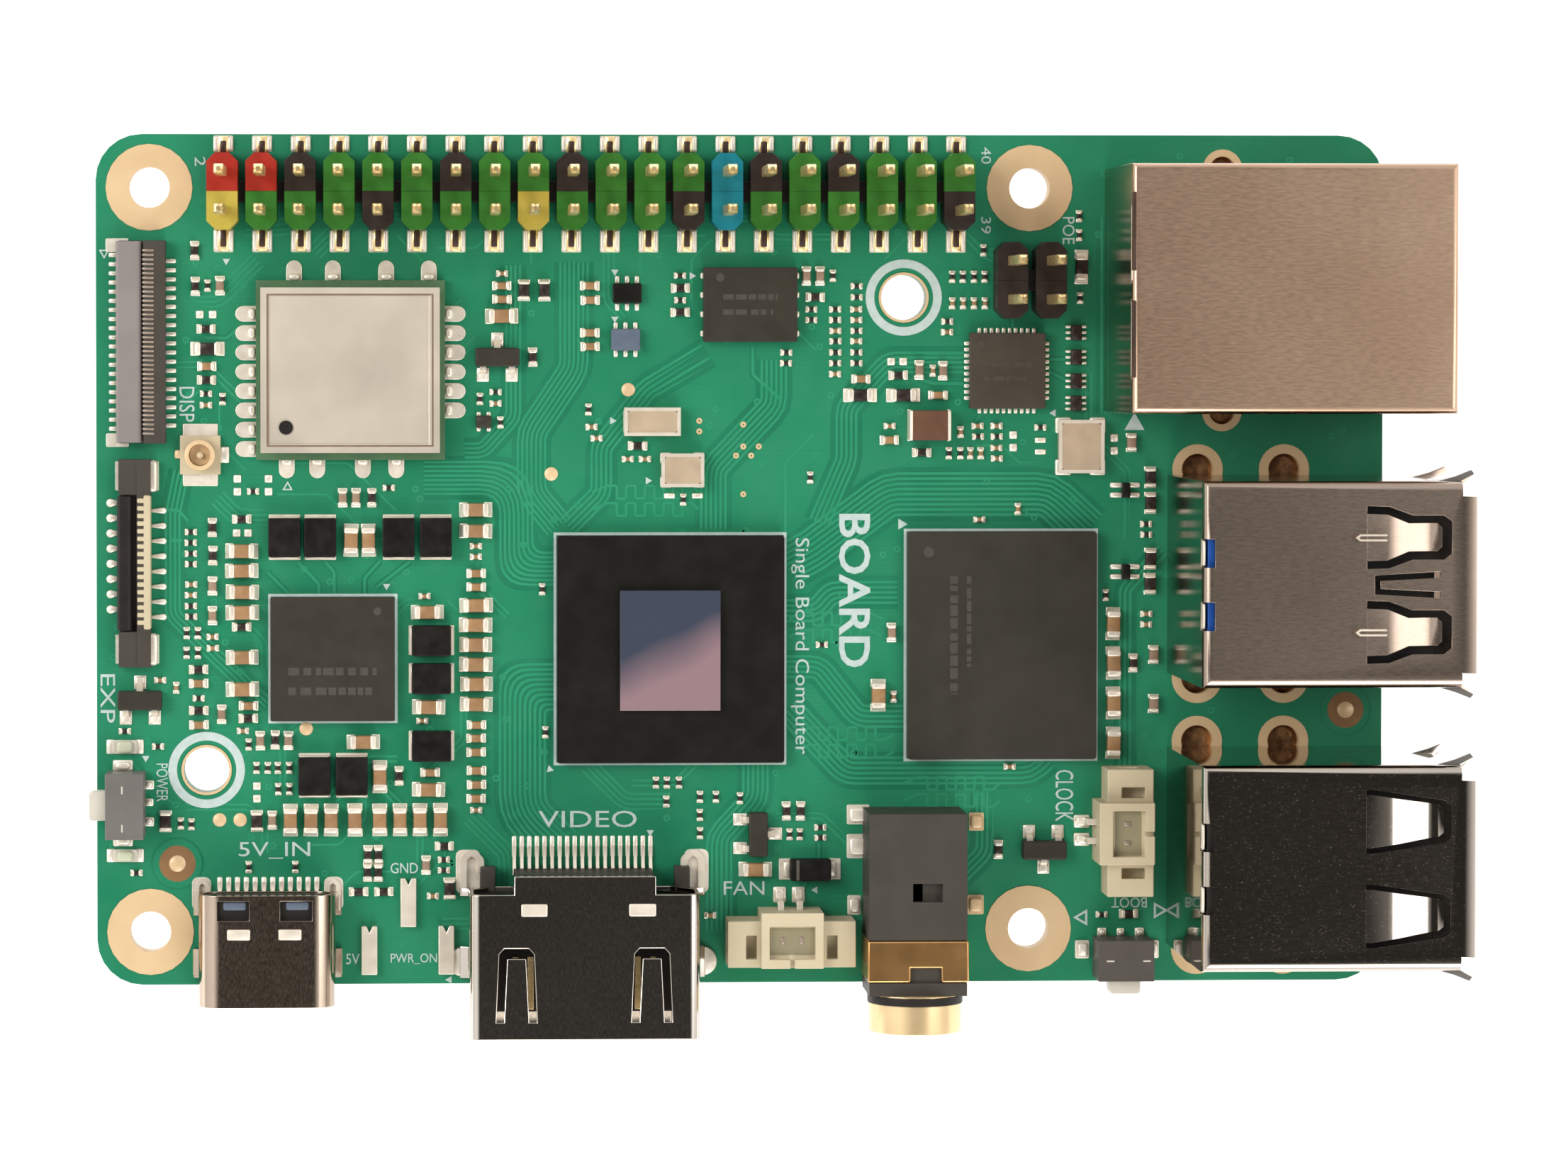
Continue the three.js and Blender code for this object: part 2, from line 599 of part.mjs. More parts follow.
// Memory card socket under the board, mouth facing -X. Its cover is a folded sheet.
function makeCardSocket() {
  const [x0, x1, y0, y1] = [1.0, 15.0, 21.6, 34.4];
  const shell = cut(
    box(x0, x1, y0, y1, -underside, 0),
    box(x0 - 1, x1 - 0.2, y0 + 0.2, y1 - 0.2, -underside + 0.2, 1),
  );
  const base = cut(
    box(x0 + 0.5, x1 - 0.25, y0 + 0.25, y1 - 0.25, -0.4, 0),
    box(x0 + 4, x1 - 3, y0 + 2.5, y1 - 2.5, -1, 1),
  );
  const group = new THREE.Group();
  group.add(piece('card_socket_shell', shell, finishes.tin),
    piece('card_socket_base', base, finishes.blackPlastic));
  return group;
}

// ---------------------------------------------------------------- assembly

const model = new THREE.Group();
model.add(
  makeBoard(),
  ...mountCentres.map((centre, index) => makeMountRing(index, centre)),
  chip('processor_package', 37.75, 22.1, 15, 15, 0, 0.9, finishes.epoxy, 0.2),
  chip('processor_die', 37.7, 22.05, 6.6, 7.9, 0.9, 1.35, finishes.silicon),
  chip('memory_package', 59.65, 22.32, 12.5, 15.05, 0, 0.95, finishes.epoxy, 0.2),
  chip('power_chip', 15.5, 21.5, 8.15, 8.15, 0, 0.85, finishes.epoxy, 0.1),
  chip('network_chip', 60.0, 40.45, 5, 5, 0, 0.8, finishes.epoxy, 0.1),
  chip('flash_chip', 43.0, 44.81, 6.2, 4.9, 0, 0.85, finishes.epoxy, 0.1),
  makeWirelessModule(),
  crystal('crystal_1', 36.55, 37.1, 3.7, 1.85),
  crystal('crystal_2', 38.55, 33.9, 2.8, 2.2),
  crystal('crystal_3', 64.9, 35.45, 3.0, 3.5),
  pinHeader('pin_header', 32.5, 52.2, 20),
  pinHeader('supply_header', 61.4, 46.4, 2),
  makeNetworkJack(),
  makeUsbStack('usb_a', usbCentres.usb_a, finishes.bluePlastic, true),
  makeUsbStack('usb_b', usbCentres.usb_b, finishes.blackPlastic, false),
  makeVideoPort(),
  makePowerPort(),
  makeAudioJack(),
  twoPinSocket('fan_socket', 45.6, 1.35, 0),
  twoPinSocket('clock_socket', 69.4, 10.1, 90),
  makeAntennaSocket(),
  flatCableSocket('display_socket', 1.35, 42.35, {
    length: 13.3, latchLength: 13.2, latchDepth: 1.7, blockFrom: 1.8, depth: 3.25, height: 1.1,
    latch: finishes.greyPlastic,
  }),
  flatCableSocket('expansion_socket', 1.4, 27.83, {
    length: 13.65, latchLength: 8.8, latchDepth: 1.0, blockFrom: 1.3, depth: 2.2, height: 1.1,
    latch: finishes.blackPlastic,
  }),
  pushButton('power_button', 0.7, 12.0, 0, { depth: 2.5, width: 4.3, key: 1.9, reach: 1.1 }),
  pushButton('boot_button', 67.65, 0.3, 90, { depth: 2.7, width: 3.7, key: 2.05, reach: 0.9 }),
  testTab('ground_tab', 20.47, 3.8, 7.0),
  testTab('supply_tab', 17.9, 0.65, 3.85),
  testTab('power_on_tab', 22.97, 0.65, 3.85),
  makeCardSocket(),
);

// The origin is the centre of the whole object's box, on the surface that it stands on.
const extent = new THREE.Box3().setFromObject(model, true);
const middle = extent.getCenter(new THREE.Vector3());
const group = new THREE.Group();
model.position.set(-middle.x, -middle.y, -extent.min.z);
group.add(model);

export default group;
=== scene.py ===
# The looks of a single board computer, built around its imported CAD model.
# Places are board millimetres: X and Y from the board's lower left corner, Z above its top face.

import math
import random

import bmesh
import bpy
from mathutils import Matrix, Vector


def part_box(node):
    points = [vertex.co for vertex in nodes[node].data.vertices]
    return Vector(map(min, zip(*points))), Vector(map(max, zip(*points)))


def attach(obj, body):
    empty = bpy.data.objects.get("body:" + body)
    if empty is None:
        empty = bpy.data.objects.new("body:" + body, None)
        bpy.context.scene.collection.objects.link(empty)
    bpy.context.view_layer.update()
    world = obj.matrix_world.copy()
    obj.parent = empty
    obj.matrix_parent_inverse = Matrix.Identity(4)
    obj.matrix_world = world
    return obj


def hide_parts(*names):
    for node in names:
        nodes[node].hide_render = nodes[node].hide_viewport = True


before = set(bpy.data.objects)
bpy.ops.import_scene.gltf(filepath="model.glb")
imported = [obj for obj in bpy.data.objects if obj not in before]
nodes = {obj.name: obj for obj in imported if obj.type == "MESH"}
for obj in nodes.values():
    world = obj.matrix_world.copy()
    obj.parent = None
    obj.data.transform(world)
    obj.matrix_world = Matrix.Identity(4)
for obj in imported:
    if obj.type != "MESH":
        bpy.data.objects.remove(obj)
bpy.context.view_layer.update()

MM = 0.001
board_low, board_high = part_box("circuit_board")
BOARD_THICKNESS = (board_high.z - board_low.z) / MM
PITCH = 2.54
SUNK = -0.02  # pads, print and solder start a little inside the board
PRINT_TOP = 0.03
random.seed(7)


def at_board(x, y, z=0.0):
    """A point in the frame's metres, from board millimetres."""
    return Vector((board_low.x + x * MM, board_low.y + y * MM, board_high.z + z * MM))


def extent(node):
    """Lowest and highest corner of a CAD node, in board millimetres."""
    origin = at_board(0, 0)
    return tuple((corner - origin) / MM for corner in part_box(node))


# ---------------------------------------------------------------- outlines and lines

def arc(x, y, radius, start, end, steps):
    angles = [math.radians(start + (end - start) * i / steps) for i in range(steps + 1)]
    return [(x + radius * math.cos(a), y + radius * math.sin(a)) for a in angles]


def disc(x, y, radius, steps=24):
    return arc(x, y, radius, 0, 360 - 360 / steps, steps - 1)


def rect(x0, x1, y0, y1, corner=0.0, steps=1):
    """Rectangle, listed anticlockwise, with its corners cut or rounded."""
    if corner <= 0:
        return [(x0, y0), (x1, y0), (x1, y1), (x0, y1)]
    corner = min(corner, (x1 - x0) * 0.49, (y1 - y0) * 0.49)
    centres = [(x0, 1, y0, 1, 180), (x1, -1, y0, 1, 270), (x1, -1, y1, -1, 0), (x0, 1, y1, -1, 90)]
    return [p for x, sx, y, sy, start in centres
            for p in arc(x + sx * corner, y + sy * corner, corner, start, start + 90, steps)]


def sides(line, i, closed):
    """Directions of the line just before and just after its point i."""
    here = Vector(line[i])
    before = here - Vector(line[i - 1]) if i or closed else None
    after = Vector(line[(i + 1) % len(line)]) - here if i + 1 < len(line) or closed else None
    before, after = before or after, after or before
    return before.normalized(), after.normalized()


def inset(low, high, distance):
    """Rectangle inside a node's own, by a distance."""
    return rect(low.x + distance, high.x - distance, low.y + distance, high.y - distance)


def shifted(line, distance, closed=False):
    """The line moved to its left, with mitred corners. A closed anticlockwise one shrinks."""
    moved = []
    for i, (x, y) in enumerate(line):
        before, after = sides(line, i, closed)
        tangent = (before + after).normalized()
        reach = distance / max(0.35, tangent.dot(after))
        moved.append((x - tangent.y * reach, y + tangent.x * reach))
    return moved


def rounded(line, radius, offset=0.0):
    """The open line moved to its left by offset, its corners turned into concentric arcs."""
    line = shifted(line, offset) if offset else line
    result = [line[0]]
    for i in range(1, len(line) - 1):
        before, after = sides(line, i, False)
        turn = before.angle_signed(after) * -1
        bend = max(0.08, radius - offset * math.copysign(1, turn))
        shortest = min((Vector(line[i]) - Vector(line[k])).length for k in (i - 1, i + 1))
        cut = min(bend * math.tan(abs(turn) / 2), shortest * 0.49)
        steps = max(1, round(abs(math.degrees(turn)) / 18))
        start, end = Vector(line[i]) - before * cut, Vector(line[i]) + after * cut
        for k in range(steps + 1):
            t = k / steps
            corner = Vector(line[i])
            point = start * (1 - t) ** 2 + corner * 2 * t * (1 - t) + end * t ** 2
            result.append(tuple(point))
    return result + [line[-1]]


def level(outline, z):
    return [(x, y, z) for x, y in outline]


# ---------------------------------------------------------------- mesh kit

def shade_by_angle():
    """Node group that shades faces smooth and keeps edges sharper than 50 degrees sharp."""
    tree = bpy.data.node_groups.new("shade_by_angle", "GeometryNodeTree")
    for way in ("INPUT", "OUTPUT"):
        tree.interface.new_socket("Geometry", in_out=way, socket_type="NodeSocketGeometry")
    source, result = tree.nodes.new("NodeGroupInput"), tree.nodes.new("NodeGroupOutput")
    angle = tree.nodes.new("GeometryNodeInputMeshEdgeAngle")
    blunt = tree.nodes.new("FunctionNodeCompare")
    blunt.data_type, blunt.operation = "FLOAT", "LESS_THAN"
    blunt.inputs[1].default_value = math.radians(50)
    faces, edges = (tree.nodes.new("GeometryNodeSetShadeSmooth") for _ in range(2))
    faces.domain, edges.domain = "FACE", "EDGE"
    link = tree.links.new
    link(source.outputs[0], faces.inputs["Geometry"])
    link(faces.outputs[0], edges.inputs["Geometry"])
    link(angle.outputs["Unsigned Angle"], blunt.inputs[0])
    link(blunt.outputs[0], edges.inputs["Shade Smooth"])
    link(edges.outputs[0], result.inputs[0])
    return tree


SHADING = shade_by_angle()


def shade(obj):
    obj.modifiers.new("shading", "NODES").node_group = SHADING
    weighted = obj.modifiers.new("weighted", "WEIGHTED_NORMAL")
    weighted.keep_sharp = True


class Kit:
    """Gathers closed solids, in board millimetres, into one mesh with several materials."""

    def __init__(self):
        self.points, self.faces, self.slots = [], [], []
        self.place = Matrix.Identity(4)

    def at(self, x=0.0, y=0.0, z=0.0, turn=0.0):
        self.place = Matrix.Translation((x, y, z)) @ Matrix.Rotation(math.radians(turn), 4, "Z")
        return self

    def add(self, points, faces, slot):
        start = len(self.points)
        self.points += [self.place @ Vector(p) for p in points]
        self.faces += [[start + i for i in face] for face in faces]
        self.slots += [slot] * len(faces)
        return self

    def loft(self, rings, slot=0, caps=True):
        """Closed solid through rings that have the same number of points."""
        count, last = len(rings[0]), len(rings) - 1
        faces = [list(range(count))[::-1], [last * count + i for i in range(count)]] if caps else []
        for below in range(0, last * count, count):
            for i in range(count):
                j = (i + 1) % count
                faces.append([below + i, below + j, below + count + j, below + count + i])
        return self.add([p for ring in rings for p in ring], faces, slot)

    def prism(self, outline, low, high, slot=0, edge=0.0):
        """Outline in X and Y, with its upper edge rounded off."""
        rings = [level(outline, low)]
        if edge:
            rings.append(level(outline, high - edge))
            if edge > 0.06:
                rings.append(level(shifted(outline, edge * 0.3, True), high - edge * 0.3))
            rings.append(level(shifted(outline, edge, True), high))
        else:
            rings.append(level(outline, high))
        return self.loft(rings, slot)

    def block(self, x0, x1, y0, y1, low, high, slot=0, edge=0.04):
        x0, x1, y0, y1 = min(x0, x1), max(x0, x1), min(y0, y1), max(y0, y1)
        edge = min(edge, (x1 - x0) / 3, (y1 - y0) / 3, (high - low) / 2)
        return self.prism(rect(x0, x1, y0, y1, edge * 1.2, 2 if edge > 0.06 else 1), low, high, slot, edge)

    def lump(self, x, y, half_x, half_y, low, high, slot=0, edge=0.04):
        """Block round its middle, from half its sizes."""
        return self.block(x - half_x, x + half_x, y - half_y, y + half_y, low, high, slot, edge)

    def plate(self, x, y, size_x, size_y, high, slot=0, edge=0.02, corner=0.0):
        """Thin pad sunk a little into the board."""
        outline = rect(x - size_x / 2, x + size_x / 2, y - size_y / 2, y + size_y / 2, corner, 3)
        return self.prism(outline, SUNK, high, slot, edge)

    def joint(self, x, y, size_x, size_y, pad_high, share, high, slot, edge):
        """Pad with its mound of solder, whose length is twice the share of the pad's."""
        self.plate(x, y, size_x, size_y, pad_high, slot, 0.04, 0.1)
        return self.lump(x, y, size_x * share, size_y * 0.36, 0.0, high, slot, edge)

    def column(self, count, pitch, x0, x1, y, half, low, high, slot=0, edge=0.04):
        """Equal blocks from y downwards along Y."""
        for i in range(count):
            self.block(x0, x1, y - pitch * i - half, y - pitch * i + half, low, high, slot, edge)
        return self

    def loop(self, outer, inner, low, high, slot=0):
        """Flat band between two outlines that have the same number of points."""
        count = len(outer)
        points = level(outer, low) + level(outer, high) + level(inner, high) + level(inner, low)
        faces = [[ring * count + i, ring * count + (i + 1) % count,
                  (ring + 1) % 4 * count + (i + 1) % count, (ring + 1) % 4 * count + i]
                 for ring in range(4) for i in range(count)]
        return self.add(points, faces, slot)

    def ring(self, x, y, inner, outer, low, high, slot=0, steps=32):
        return self.loop(disc(x, y, outer, steps), disc(x, y, inner, steps), low, high, slot)

    def border(self, x0, x1, y0, y1, width, high, slot=0):
        w = width / 2
        return self.loop(rect(x0 - w, x1 + w, y0 - w, y1 + w), rect(x0 + w, x1 - w, y0 + w, y1 - w),
                         SUNK, high, slot)

    def dome(self, x, y, radius, low, high, slot=0, steps=16):
        shares = [(1, 0), (0.97, 0.25), (0.82, 0.62), (0.5, 0.92), (0.15, 1)]
        return self.loft([level(disc(x, y, radius * r, steps), low + (high - low) * h)
                          for r, h in shares], slot)

    def slab(self, outline, y0, y1, slot=0):
        """Outline in X and Z, extruded along Y."""
        return self.loft([[(x, y, z) for x, z in outline] for y in (y0, y1)], slot)

    def strip(self, line, y0, y1, thickness, slot=0):
        """Bent sheet: a centreline in X and Z, as wide as y0 to y1."""
        upper, lower = shifted(line, thickness / 2), shifted(line, -thickness / 2)
        return self.slab(upper + lower[::-1], y0, y1, slot)

    def track(self, line, width, low, high, slot=0):
        """Flat ribbon on the board along a line in X and Y."""
        left, right = shifted(line, width / 2), shifted(line, -width / 2)
        return self.loft([[(*r, low), (*r, high), (*l, high), (*l, low)]
                          for l, r in zip(left, right)], slot)

    def lane(self, line, radius, offset, width, high, slot=0):
        """Flat ribbon beside a line whose bends are arcs, so that its two edges stay concentric."""
        left, right = (rounded(line, radius, offset + side * width / 2) for side in (1, -1))
        return self.loft([[(*r, -0.01), (*r, high), (*l, high), (*l, -0.01)]
                          for l, r in zip(left, right)], slot)

    def word(self, text, x0, x1, y0, y1, high, slot=0, turn=0, bold=0.0):
        """Word fitted to a rectangle, after it has been turned by a number of degrees."""
        curve = bpy.data.curves.new("word", "FONT")
        curve.body, curve.extrude, curve.offset, curve.resolution_u = text, 0.5, bold, 3
        holder = bpy.data.objects.new("word", curve)
        mesh = bpy.data.meshes.new_from_object(holder)
        spin = Matrix.Rotation(math.radians(turn), 4, "Z")
        points = [spin @ v.co for v in mesh.vertices]
        low = [min(p[i] for p in points) for i in range(2)]
        span = [max(p[i] for p in points) - low[i] for i in range(2)]
        fitted = [(x0 + (p.x - low[0]) * (x1 - x0) / span[0], y0 + (p.y - low[1]) * (y1 - y0) / span[1],
                   high if p.z > 0 else SUNK) for p in points]
        self.at().add(fitted, [list(face.vertices) for face in mesh.polygons], slot)
        bpy.data.objects.remove(holder)
        bpy.data.curves.remove(curve)
        bpy.data.meshes.remove(mesh)
        return self

    def build(self, name, materials, slot, body="board", replaces=()):
        mesh = bpy.data.meshes.new(name)
        mesh.from_pydata([at_board(*p) for p in self.points], [], self.faces)
        for material in materials:
            mesh.materials.append(material)
        mesh.polygons.foreach_set("material_index", self.slots)
        work = bmesh.new()
        work.from_mesh(mesh)
        bmesh.ops.recalc_face_normals(work, faces=work.faces)
        work.to_mesh(mesh)
        work.free()
        obj = bpy.data.objects.new(name, mesh)
        bpy.context.scene.collection.objects.link(obj)
        shade(obj)
        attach(obj, body)
        if replaces:
            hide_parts(*replaces)
        return obj


# ---------------------------------------------------------------- materials

def rgb(red, green, blue):
    """Linear colour of a display colour given from 0 to 255."""
    def linear(c):
        c /= 255
        return c / 12.92 if c <= 0.04045 else ((c + 0.055) / 1.055) ** 2.4
    return linear(red), linear(green), linear(blue), 1.0


# How much brighter than its own colour a matt surface is seen under the tent and its lights.
TENT_GAIN = 1.45


def matt(colour):
    return tuple(share / TENT_GAIN for share in colour[:3]) + (1.0,)


class Shader:
    """One node material, with short calls for the nodes that are used here."""

    def __init__(self, name, **sockets):
        self.material = bpy.data.materials.new(name)
        self.material.use_nodes = True
        self.tree = self.material.node_tree
        self.surface = self.tree.nodes["Principled BSDF"]
        for socket, value in sockets.items():
            self.surface.inputs[socket.replace("_", " ")].default_value = value
        self.place = self.node("ShaderNodeTexCoord").outputs["Object"]

    def node(self, kind, inputs=(), **settings):
        made = self.tree.nodes.new(kind)
        for key, value in settings.items():
            setattr(made, key, value)
        for key, value in dict(inputs).items():
            if isinstance(value, bpy.types.NodeSocket):
                self.tree.links.new(value, made.inputs[key])
            else:
                made.inputs[key].default_value = value
        return made

    def noise(self, size, detail=3.0, stretch=(1, 1, 1)):
        """Noise whose features are about size millimetres, longer where stretch is above 1."""
        scale = [1 / (size * s * MM) for s in stretch]
        place = self.node("ShaderNodeMapping", {"Vector": self.place, "Scale": scale}).outputs[0]
        return self.node("ShaderNodeTexNoise", {"Vector": place, "Scale": 1.0, "Detail": detail}).outputs[0]

    def span(self, value, low, high, to_low, to_high):
        return self.node("ShaderNodeMapRange", {
            "Value": value, "From Min": low, "From Max": high, "To Min": to_low, "To Max": to_high,
        }).outputs[0]

    def mix(self, share, first, second, blend="MIX"):
        mixed = self.node("ShaderNodeMix", {0: share, 6: first, 7: second}, data_type="RGBA",
                          blend_type=blend)
        return mixed.outputs[2]

    def maths(self, operation, *values):
        return self.node("ShaderNodeMath", enumerate(values), operation=operation).outputs[0]

    def levelness(self):
        """1 on faces that look straight up or down, 0 on walls."""
        normal = self.node("ShaderNodeNewGeometry").outputs["Normal"]
        return self.maths("ABSOLUTE", self.node("ShaderNodeSeparateXYZ", {0: normal}).outputs["Z"])

    def islands(self, colour, amount):
        """Each solid a little lighter or darker than the next."""
        chance = self.node("ShaderNodeNewGeometry").outputs["Random Per Island"]
        value = self.span(chance, 0, 1, 1 - amount, 1 + amount)
        return self.node("ShaderNodeHueSaturation", {"Color": colour, "Value": value}).outputs[0]

    def bump(self, height, depth, strength=1.0):
        bumped = self.node("ShaderNodeBump", {"Height": height, "Distance": depth * MM,
                                              "Strength": strength})
        if self.surface.inputs["Normal"].is_linked:
            before = self.surface.inputs["Normal"].links[0].from_socket
            self.tree.links.new(before, bumped.inputs["Normal"])
        self.to("Normal", bumped.outputs[0])

    def to(self, socket, value):
        self.tree.links.new(value, self.surface.inputs[socket])


def finish(name, colour, other, size=1.0, rough=(0.4, 0.55), bump=0.004, grain=0.12, tint=0.0,
           stretch=(1, 1, 1), **sockets):
    """Two mottled colours, roughness that wanders and a fine grain. Sizes are millimetres."""
    colour, other = rgb(*colour), rgb(*other)
    if "Metallic" not in sockets:
        colour, other = matt(colour), matt(other)
        sockets.setdefault("Specular_IOR_Level", 0.3)
    look = Shader(name, **sockets)
    share = look.span(look.noise(size, 4), 0.35, 0.65, 0, 1)
    mottled = look.mix(share, colour, other)
    look.to("Base Color", look.islands(mottled, tint) if tint else mottled)
    look.to("Roughness", look.span(look.noise(size * 0.6, 3, stretch), 0.3, 0.7, *rough))
    look.bump(look.noise(grain, 2, stretch), bump)
    return look.material


def solder_mask():
    """Green mask on both faces, with the glass weave faintly below it, and bare laminate at cut edges."""
    look = Shader("solder_mask", Specular_IOR_Level=0.3, Coat_Weight=0.12, Coat_Roughness=0.15)
    cloudy = look.span(look.noise(9, 3), 0.35, 0.65, 0, 1)
    green = look.mix(cloudy, matt(rgb(32, 132, 94)), matt(rgb(42, 144, 104)))
    weave = look.node("ShaderNodeTexWave", {"Vector": look.place, "Scale": 1 / MM, "Distortion": 1.5},
                      bands_direction="Y").outputs["Fac"]
    green = look.mix(look.span(weave, 0, 1, 0, 0.1), green, matt(rgb(24, 116, 84)))
    edge = look.span(look.levelness(), 0.3, 0.6, 1, 0)
    layers = look.noise(0.35, 2, (30, 30, 1))
    laminate = look.mix(layers, matt(rgb(88, 112, 78)), matt(rgb(140, 140, 96)))
    look.to("Base Color", look.mix(edge, green, laminate))
    look.to("Roughness", look.span(look.noise(2), 0.3, 0.7, 0.3, 0.42))
    look.bump(look.noise(0.25), 0.006)
    return look.material


def sheet_metal(name, colour, other, rough, along=(5, 1, 1), grain=0.06, bump=0.0006, specks=0.0):
    """Rolled sheet with drawn lines, worn patches and specks of dust, and smoother walls painted darker as
    shade.
    """
    look = Shader(name, Metallic=1.0)
    patch = look.span(look.noise(7, 2), 0.3, 0.7, 0, 1)
    lines = look.span(look.noise(grain * 2, 2, along), 0.35, 0.65, 0, 1)
    base = look.mix(patch, rgb(*colour), rgb(*other))
    base = look.mix(look.span(lines, 0, 1, 0, 0.05), base, rgb(90, 76, 66))
    roof = look.span(lines, 0, 1, *rough)
    if specks:
        roof = look.maths("ADD", roof, look.span(look.noise(0.1, 0), 0.68, 0.86, 0, specks))
    share = look.span(look.levelness(), 0.5, 0.9, 0, 1)
    # Painted shade: walls get a darker copy of the base colour.
    dull = look.node("ShaderNodeHueSaturation", {"Color": base, "Value": 0.66}).outputs[0]
    look.to("Base Color", look.mix(share, dull, base))
    wall = look.maths("MULTIPLY", roof, 0.5)
    look.to("Roughness", look.node("ShaderNodeMix", {0: share, 2: wall, 3: roof}).outputs[0])
    look.bump(look.noise(grain, 2, along), bump)
    look.bump(look.noise(6, 1), 0.015, 0.3)
    return look.material


def die_face():
    """Polished silicon: a dull blue that turns pink across the die, as thin oxide does."""
    look = Shader("die_face", Metallic=0.25, Specular_IOR_Level=0.7)
    low, high = extent("processor_die")
    origin = at_board(*((low + high) / 2))
    shift = look.node("ShaderNodeVectorMath", {0: look.place, 1: tuple(origin)}, operation="SUBTRACT")
    axes = look.node("ShaderNodeSeparateXYZ", {0: shift.outputs[0]})
    slope = look.maths("MULTIPLY_ADD", axes.outputs["X"], -0.45, axes.outputs["Y"])
    height = look.maths("ADD", slope, look.span(look.noise(6, 1), 0, 1, -1.2 * MM, 1.2 * MM))
    share = look.span(height, -1.6 * MM, 1.0 * MM, 0, 1)
    look.to("Base Color", look.mix(share, rgb(150, 124, 130), rgb(66, 72, 88)))
    look.to("Roughness", look.span(look.noise(0.8), 0.3, 0.7, 0.12, 0.2))
    look.bump(look.noise(0.4), 0.0008)
    return look.material


TIN = finish("tinned_metal", (230, 220, 204), (222, 211, 194), 1.5, (0.28, 0.4), 0.004, 0.16, 0.08,
             Metallic=0.45)
SOLDER = finish("solder", (232, 224, 210), (222, 212, 196), 0.8, (0.26, 0.4), 0.012, 0.3, 0.06,
                Metallic=0.4)
GOLD = finish("gold_plate", (206, 178, 138), (200, 171, 131), 3.0, (0.34, 0.42), 0.002, 0.12,
              Metallic=0.12)
PALE_GOLD = finish("pin_gold", (240, 214, 160), (232, 203, 148), 2.0, (0.24, 0.32), 0.0004, 0.3, 0.06,
                   Metallic=0.8)
# Painted shade: dark brown for the hollow in each header pin's solder foot and for the strips at the
# network jack's rear edge.
FOOT_SHADE = finish("foot_hollow", (74, 50, 36), (60, 42, 30), 0.8, (0.4, 0.5), 0.002, 0.1)
SADDLE = finish("saddle_gold", (214, 166, 108), (202, 152, 94), 3.0, (0.22, 0.28), 0.0004, 0.3,
                Metallic=0.9)
BARREL = finish("barrel_gold", (226, 200, 154), (218, 190, 144), 3.0, (0.22, 0.28), 0.0004, 0.3,
                Metallic=0.6)
SILK = finish("silkscreen", (207, 223, 219), (194, 213, 208), 0.5, (0.5, 0.65), 0.004, 0.08)
TRACK = finish("masked_copper", (45, 149, 108), (50, 154, 113), 3, (0.3, 0.42), 0.004, 0.25)
GAP = finish("masked_laminate", (27, 122, 87), (34, 131, 95), 4, (0.3, 0.42), 0.004, 0.25)
MASK = solder_mask()
EPOXY = finish("epoxy_black", (25, 24, 20), (30, 29, 25), 2.5, (0.32, 0.42), 0.002, 0.08,
               Specular_IOR_Level=0.2)
EPOXY_GREY = finish("epoxy_grey", (58, 55, 48), (63, 60, 53), 2.5, (0.4, 0.5), 0.003, 0.09,
                    Specular_IOR_Level=0.2)
EPOXY_BROWN = finish("epoxy_brown", (56, 53, 44), (62, 58, 49), 2.0, (0.4, 0.5), 0.003, 0.09,
                     Specular_IOR_Level=0.2)
CHIP_GREY = finish("chip_grey", (82, 74, 64), (76, 69, 60), 2.0, (0.4, 0.5), 0.003, 0.09,
                   Specular_IOR_Level=0.2)
MARK = finish("laser_mark", (104, 98, 88), (94, 88, 80), 0.4, (0.6, 0.7), 0.002, 0.06)
SLATE = finish("slate_package", (96, 108, 126), (104, 116, 134), 0.8, (0.3, 0.45), 0.003, 0.09)
DIE = die_face()
FERRITE = finish("ferrite", (24, 21, 19), (36, 33, 31), 0.9, (0.36, 0.48), 0.006, 0.14, 0.2,
                 Specular_IOR_Level=0.15)
CERAMIC = finish("ceramic_tan", (170, 132, 90), (160, 122, 82), 0.5, (0.4, 0.55), 0.004, 0.12, 0.1)
CERAMIC_BROWN = finish("ceramic_brown", (118, 82, 62), (106, 74, 56), 1.2, (0.36, 0.46), 0.003, 0.12)
CERAMIC_GREY = finish("ceramic_grey", (164, 137, 114), (152, 127, 105), 0.5, (0.4, 0.55), 0.004, 0.12,
                      0.1)
RESISTOR = finish("resistor_glass", (46, 36, 32), (58, 46, 40), 0.3, (0.3, 0.42), 0.004, 0.1, 0.15,
                  Specular_IOR_Level=0.2)
BLACK = finish("black_plastic", (34, 30, 27), (40, 35, 32), 1.4, (0.42, 0.56), 0.004, 0.1,
               Specular_IOR_Level=0.2)
BODY_GREY = finish("jack_plastic", (68, 63, 56), (74, 69, 62), 3.0, (0.45, 0.6), 0.003, 0.1,
                   Specular_IOR_Level=0.25)
BLUE = finish("blue_plastic", (16, 72, 156), (22, 82, 168), 1.4, (0.36, 0.5), 0.004, 0.1)
CREAM = finish("cream_plastic", (217, 203, 171), (211, 196, 163), 2.5, (0.42, 0.58), 0.004, 0.1)
# Painted shade: a darker copy of the cream plastic, for the floor of socket recesses.
SHADED_CREAM = finish("shaded_recess_plastic", (160, 152, 120), (150, 142, 112), 2.5, (0.42, 0.58), 0.004, 0.1)
LATCH_GREY = finish("grey_plastic", (147, 139, 137), (141, 133, 130), 3.0, (0.45, 0.6), 0.003, 0.09)
CAP_GREY = finish("button_cover", (122, 118, 114), (114, 110, 106), 3.0, (0.36, 0.46), 0.003, 0.09)
CAP_DARK = finish("small_button_cover", (92, 86, 80), (84, 78, 73), 3.0, (0.4, 0.5), 0.003, 0.09)
WHITE = finish("white_plastic", (224, 218, 204), (216, 209, 195), 1.2, (0.4, 0.55), 0.003, 0.09)
LAMINATE = finish("bare_laminate", (86, 124, 88), (78, 114, 80), 1.0, (0.5, 0.65), 0.006, 0.1)
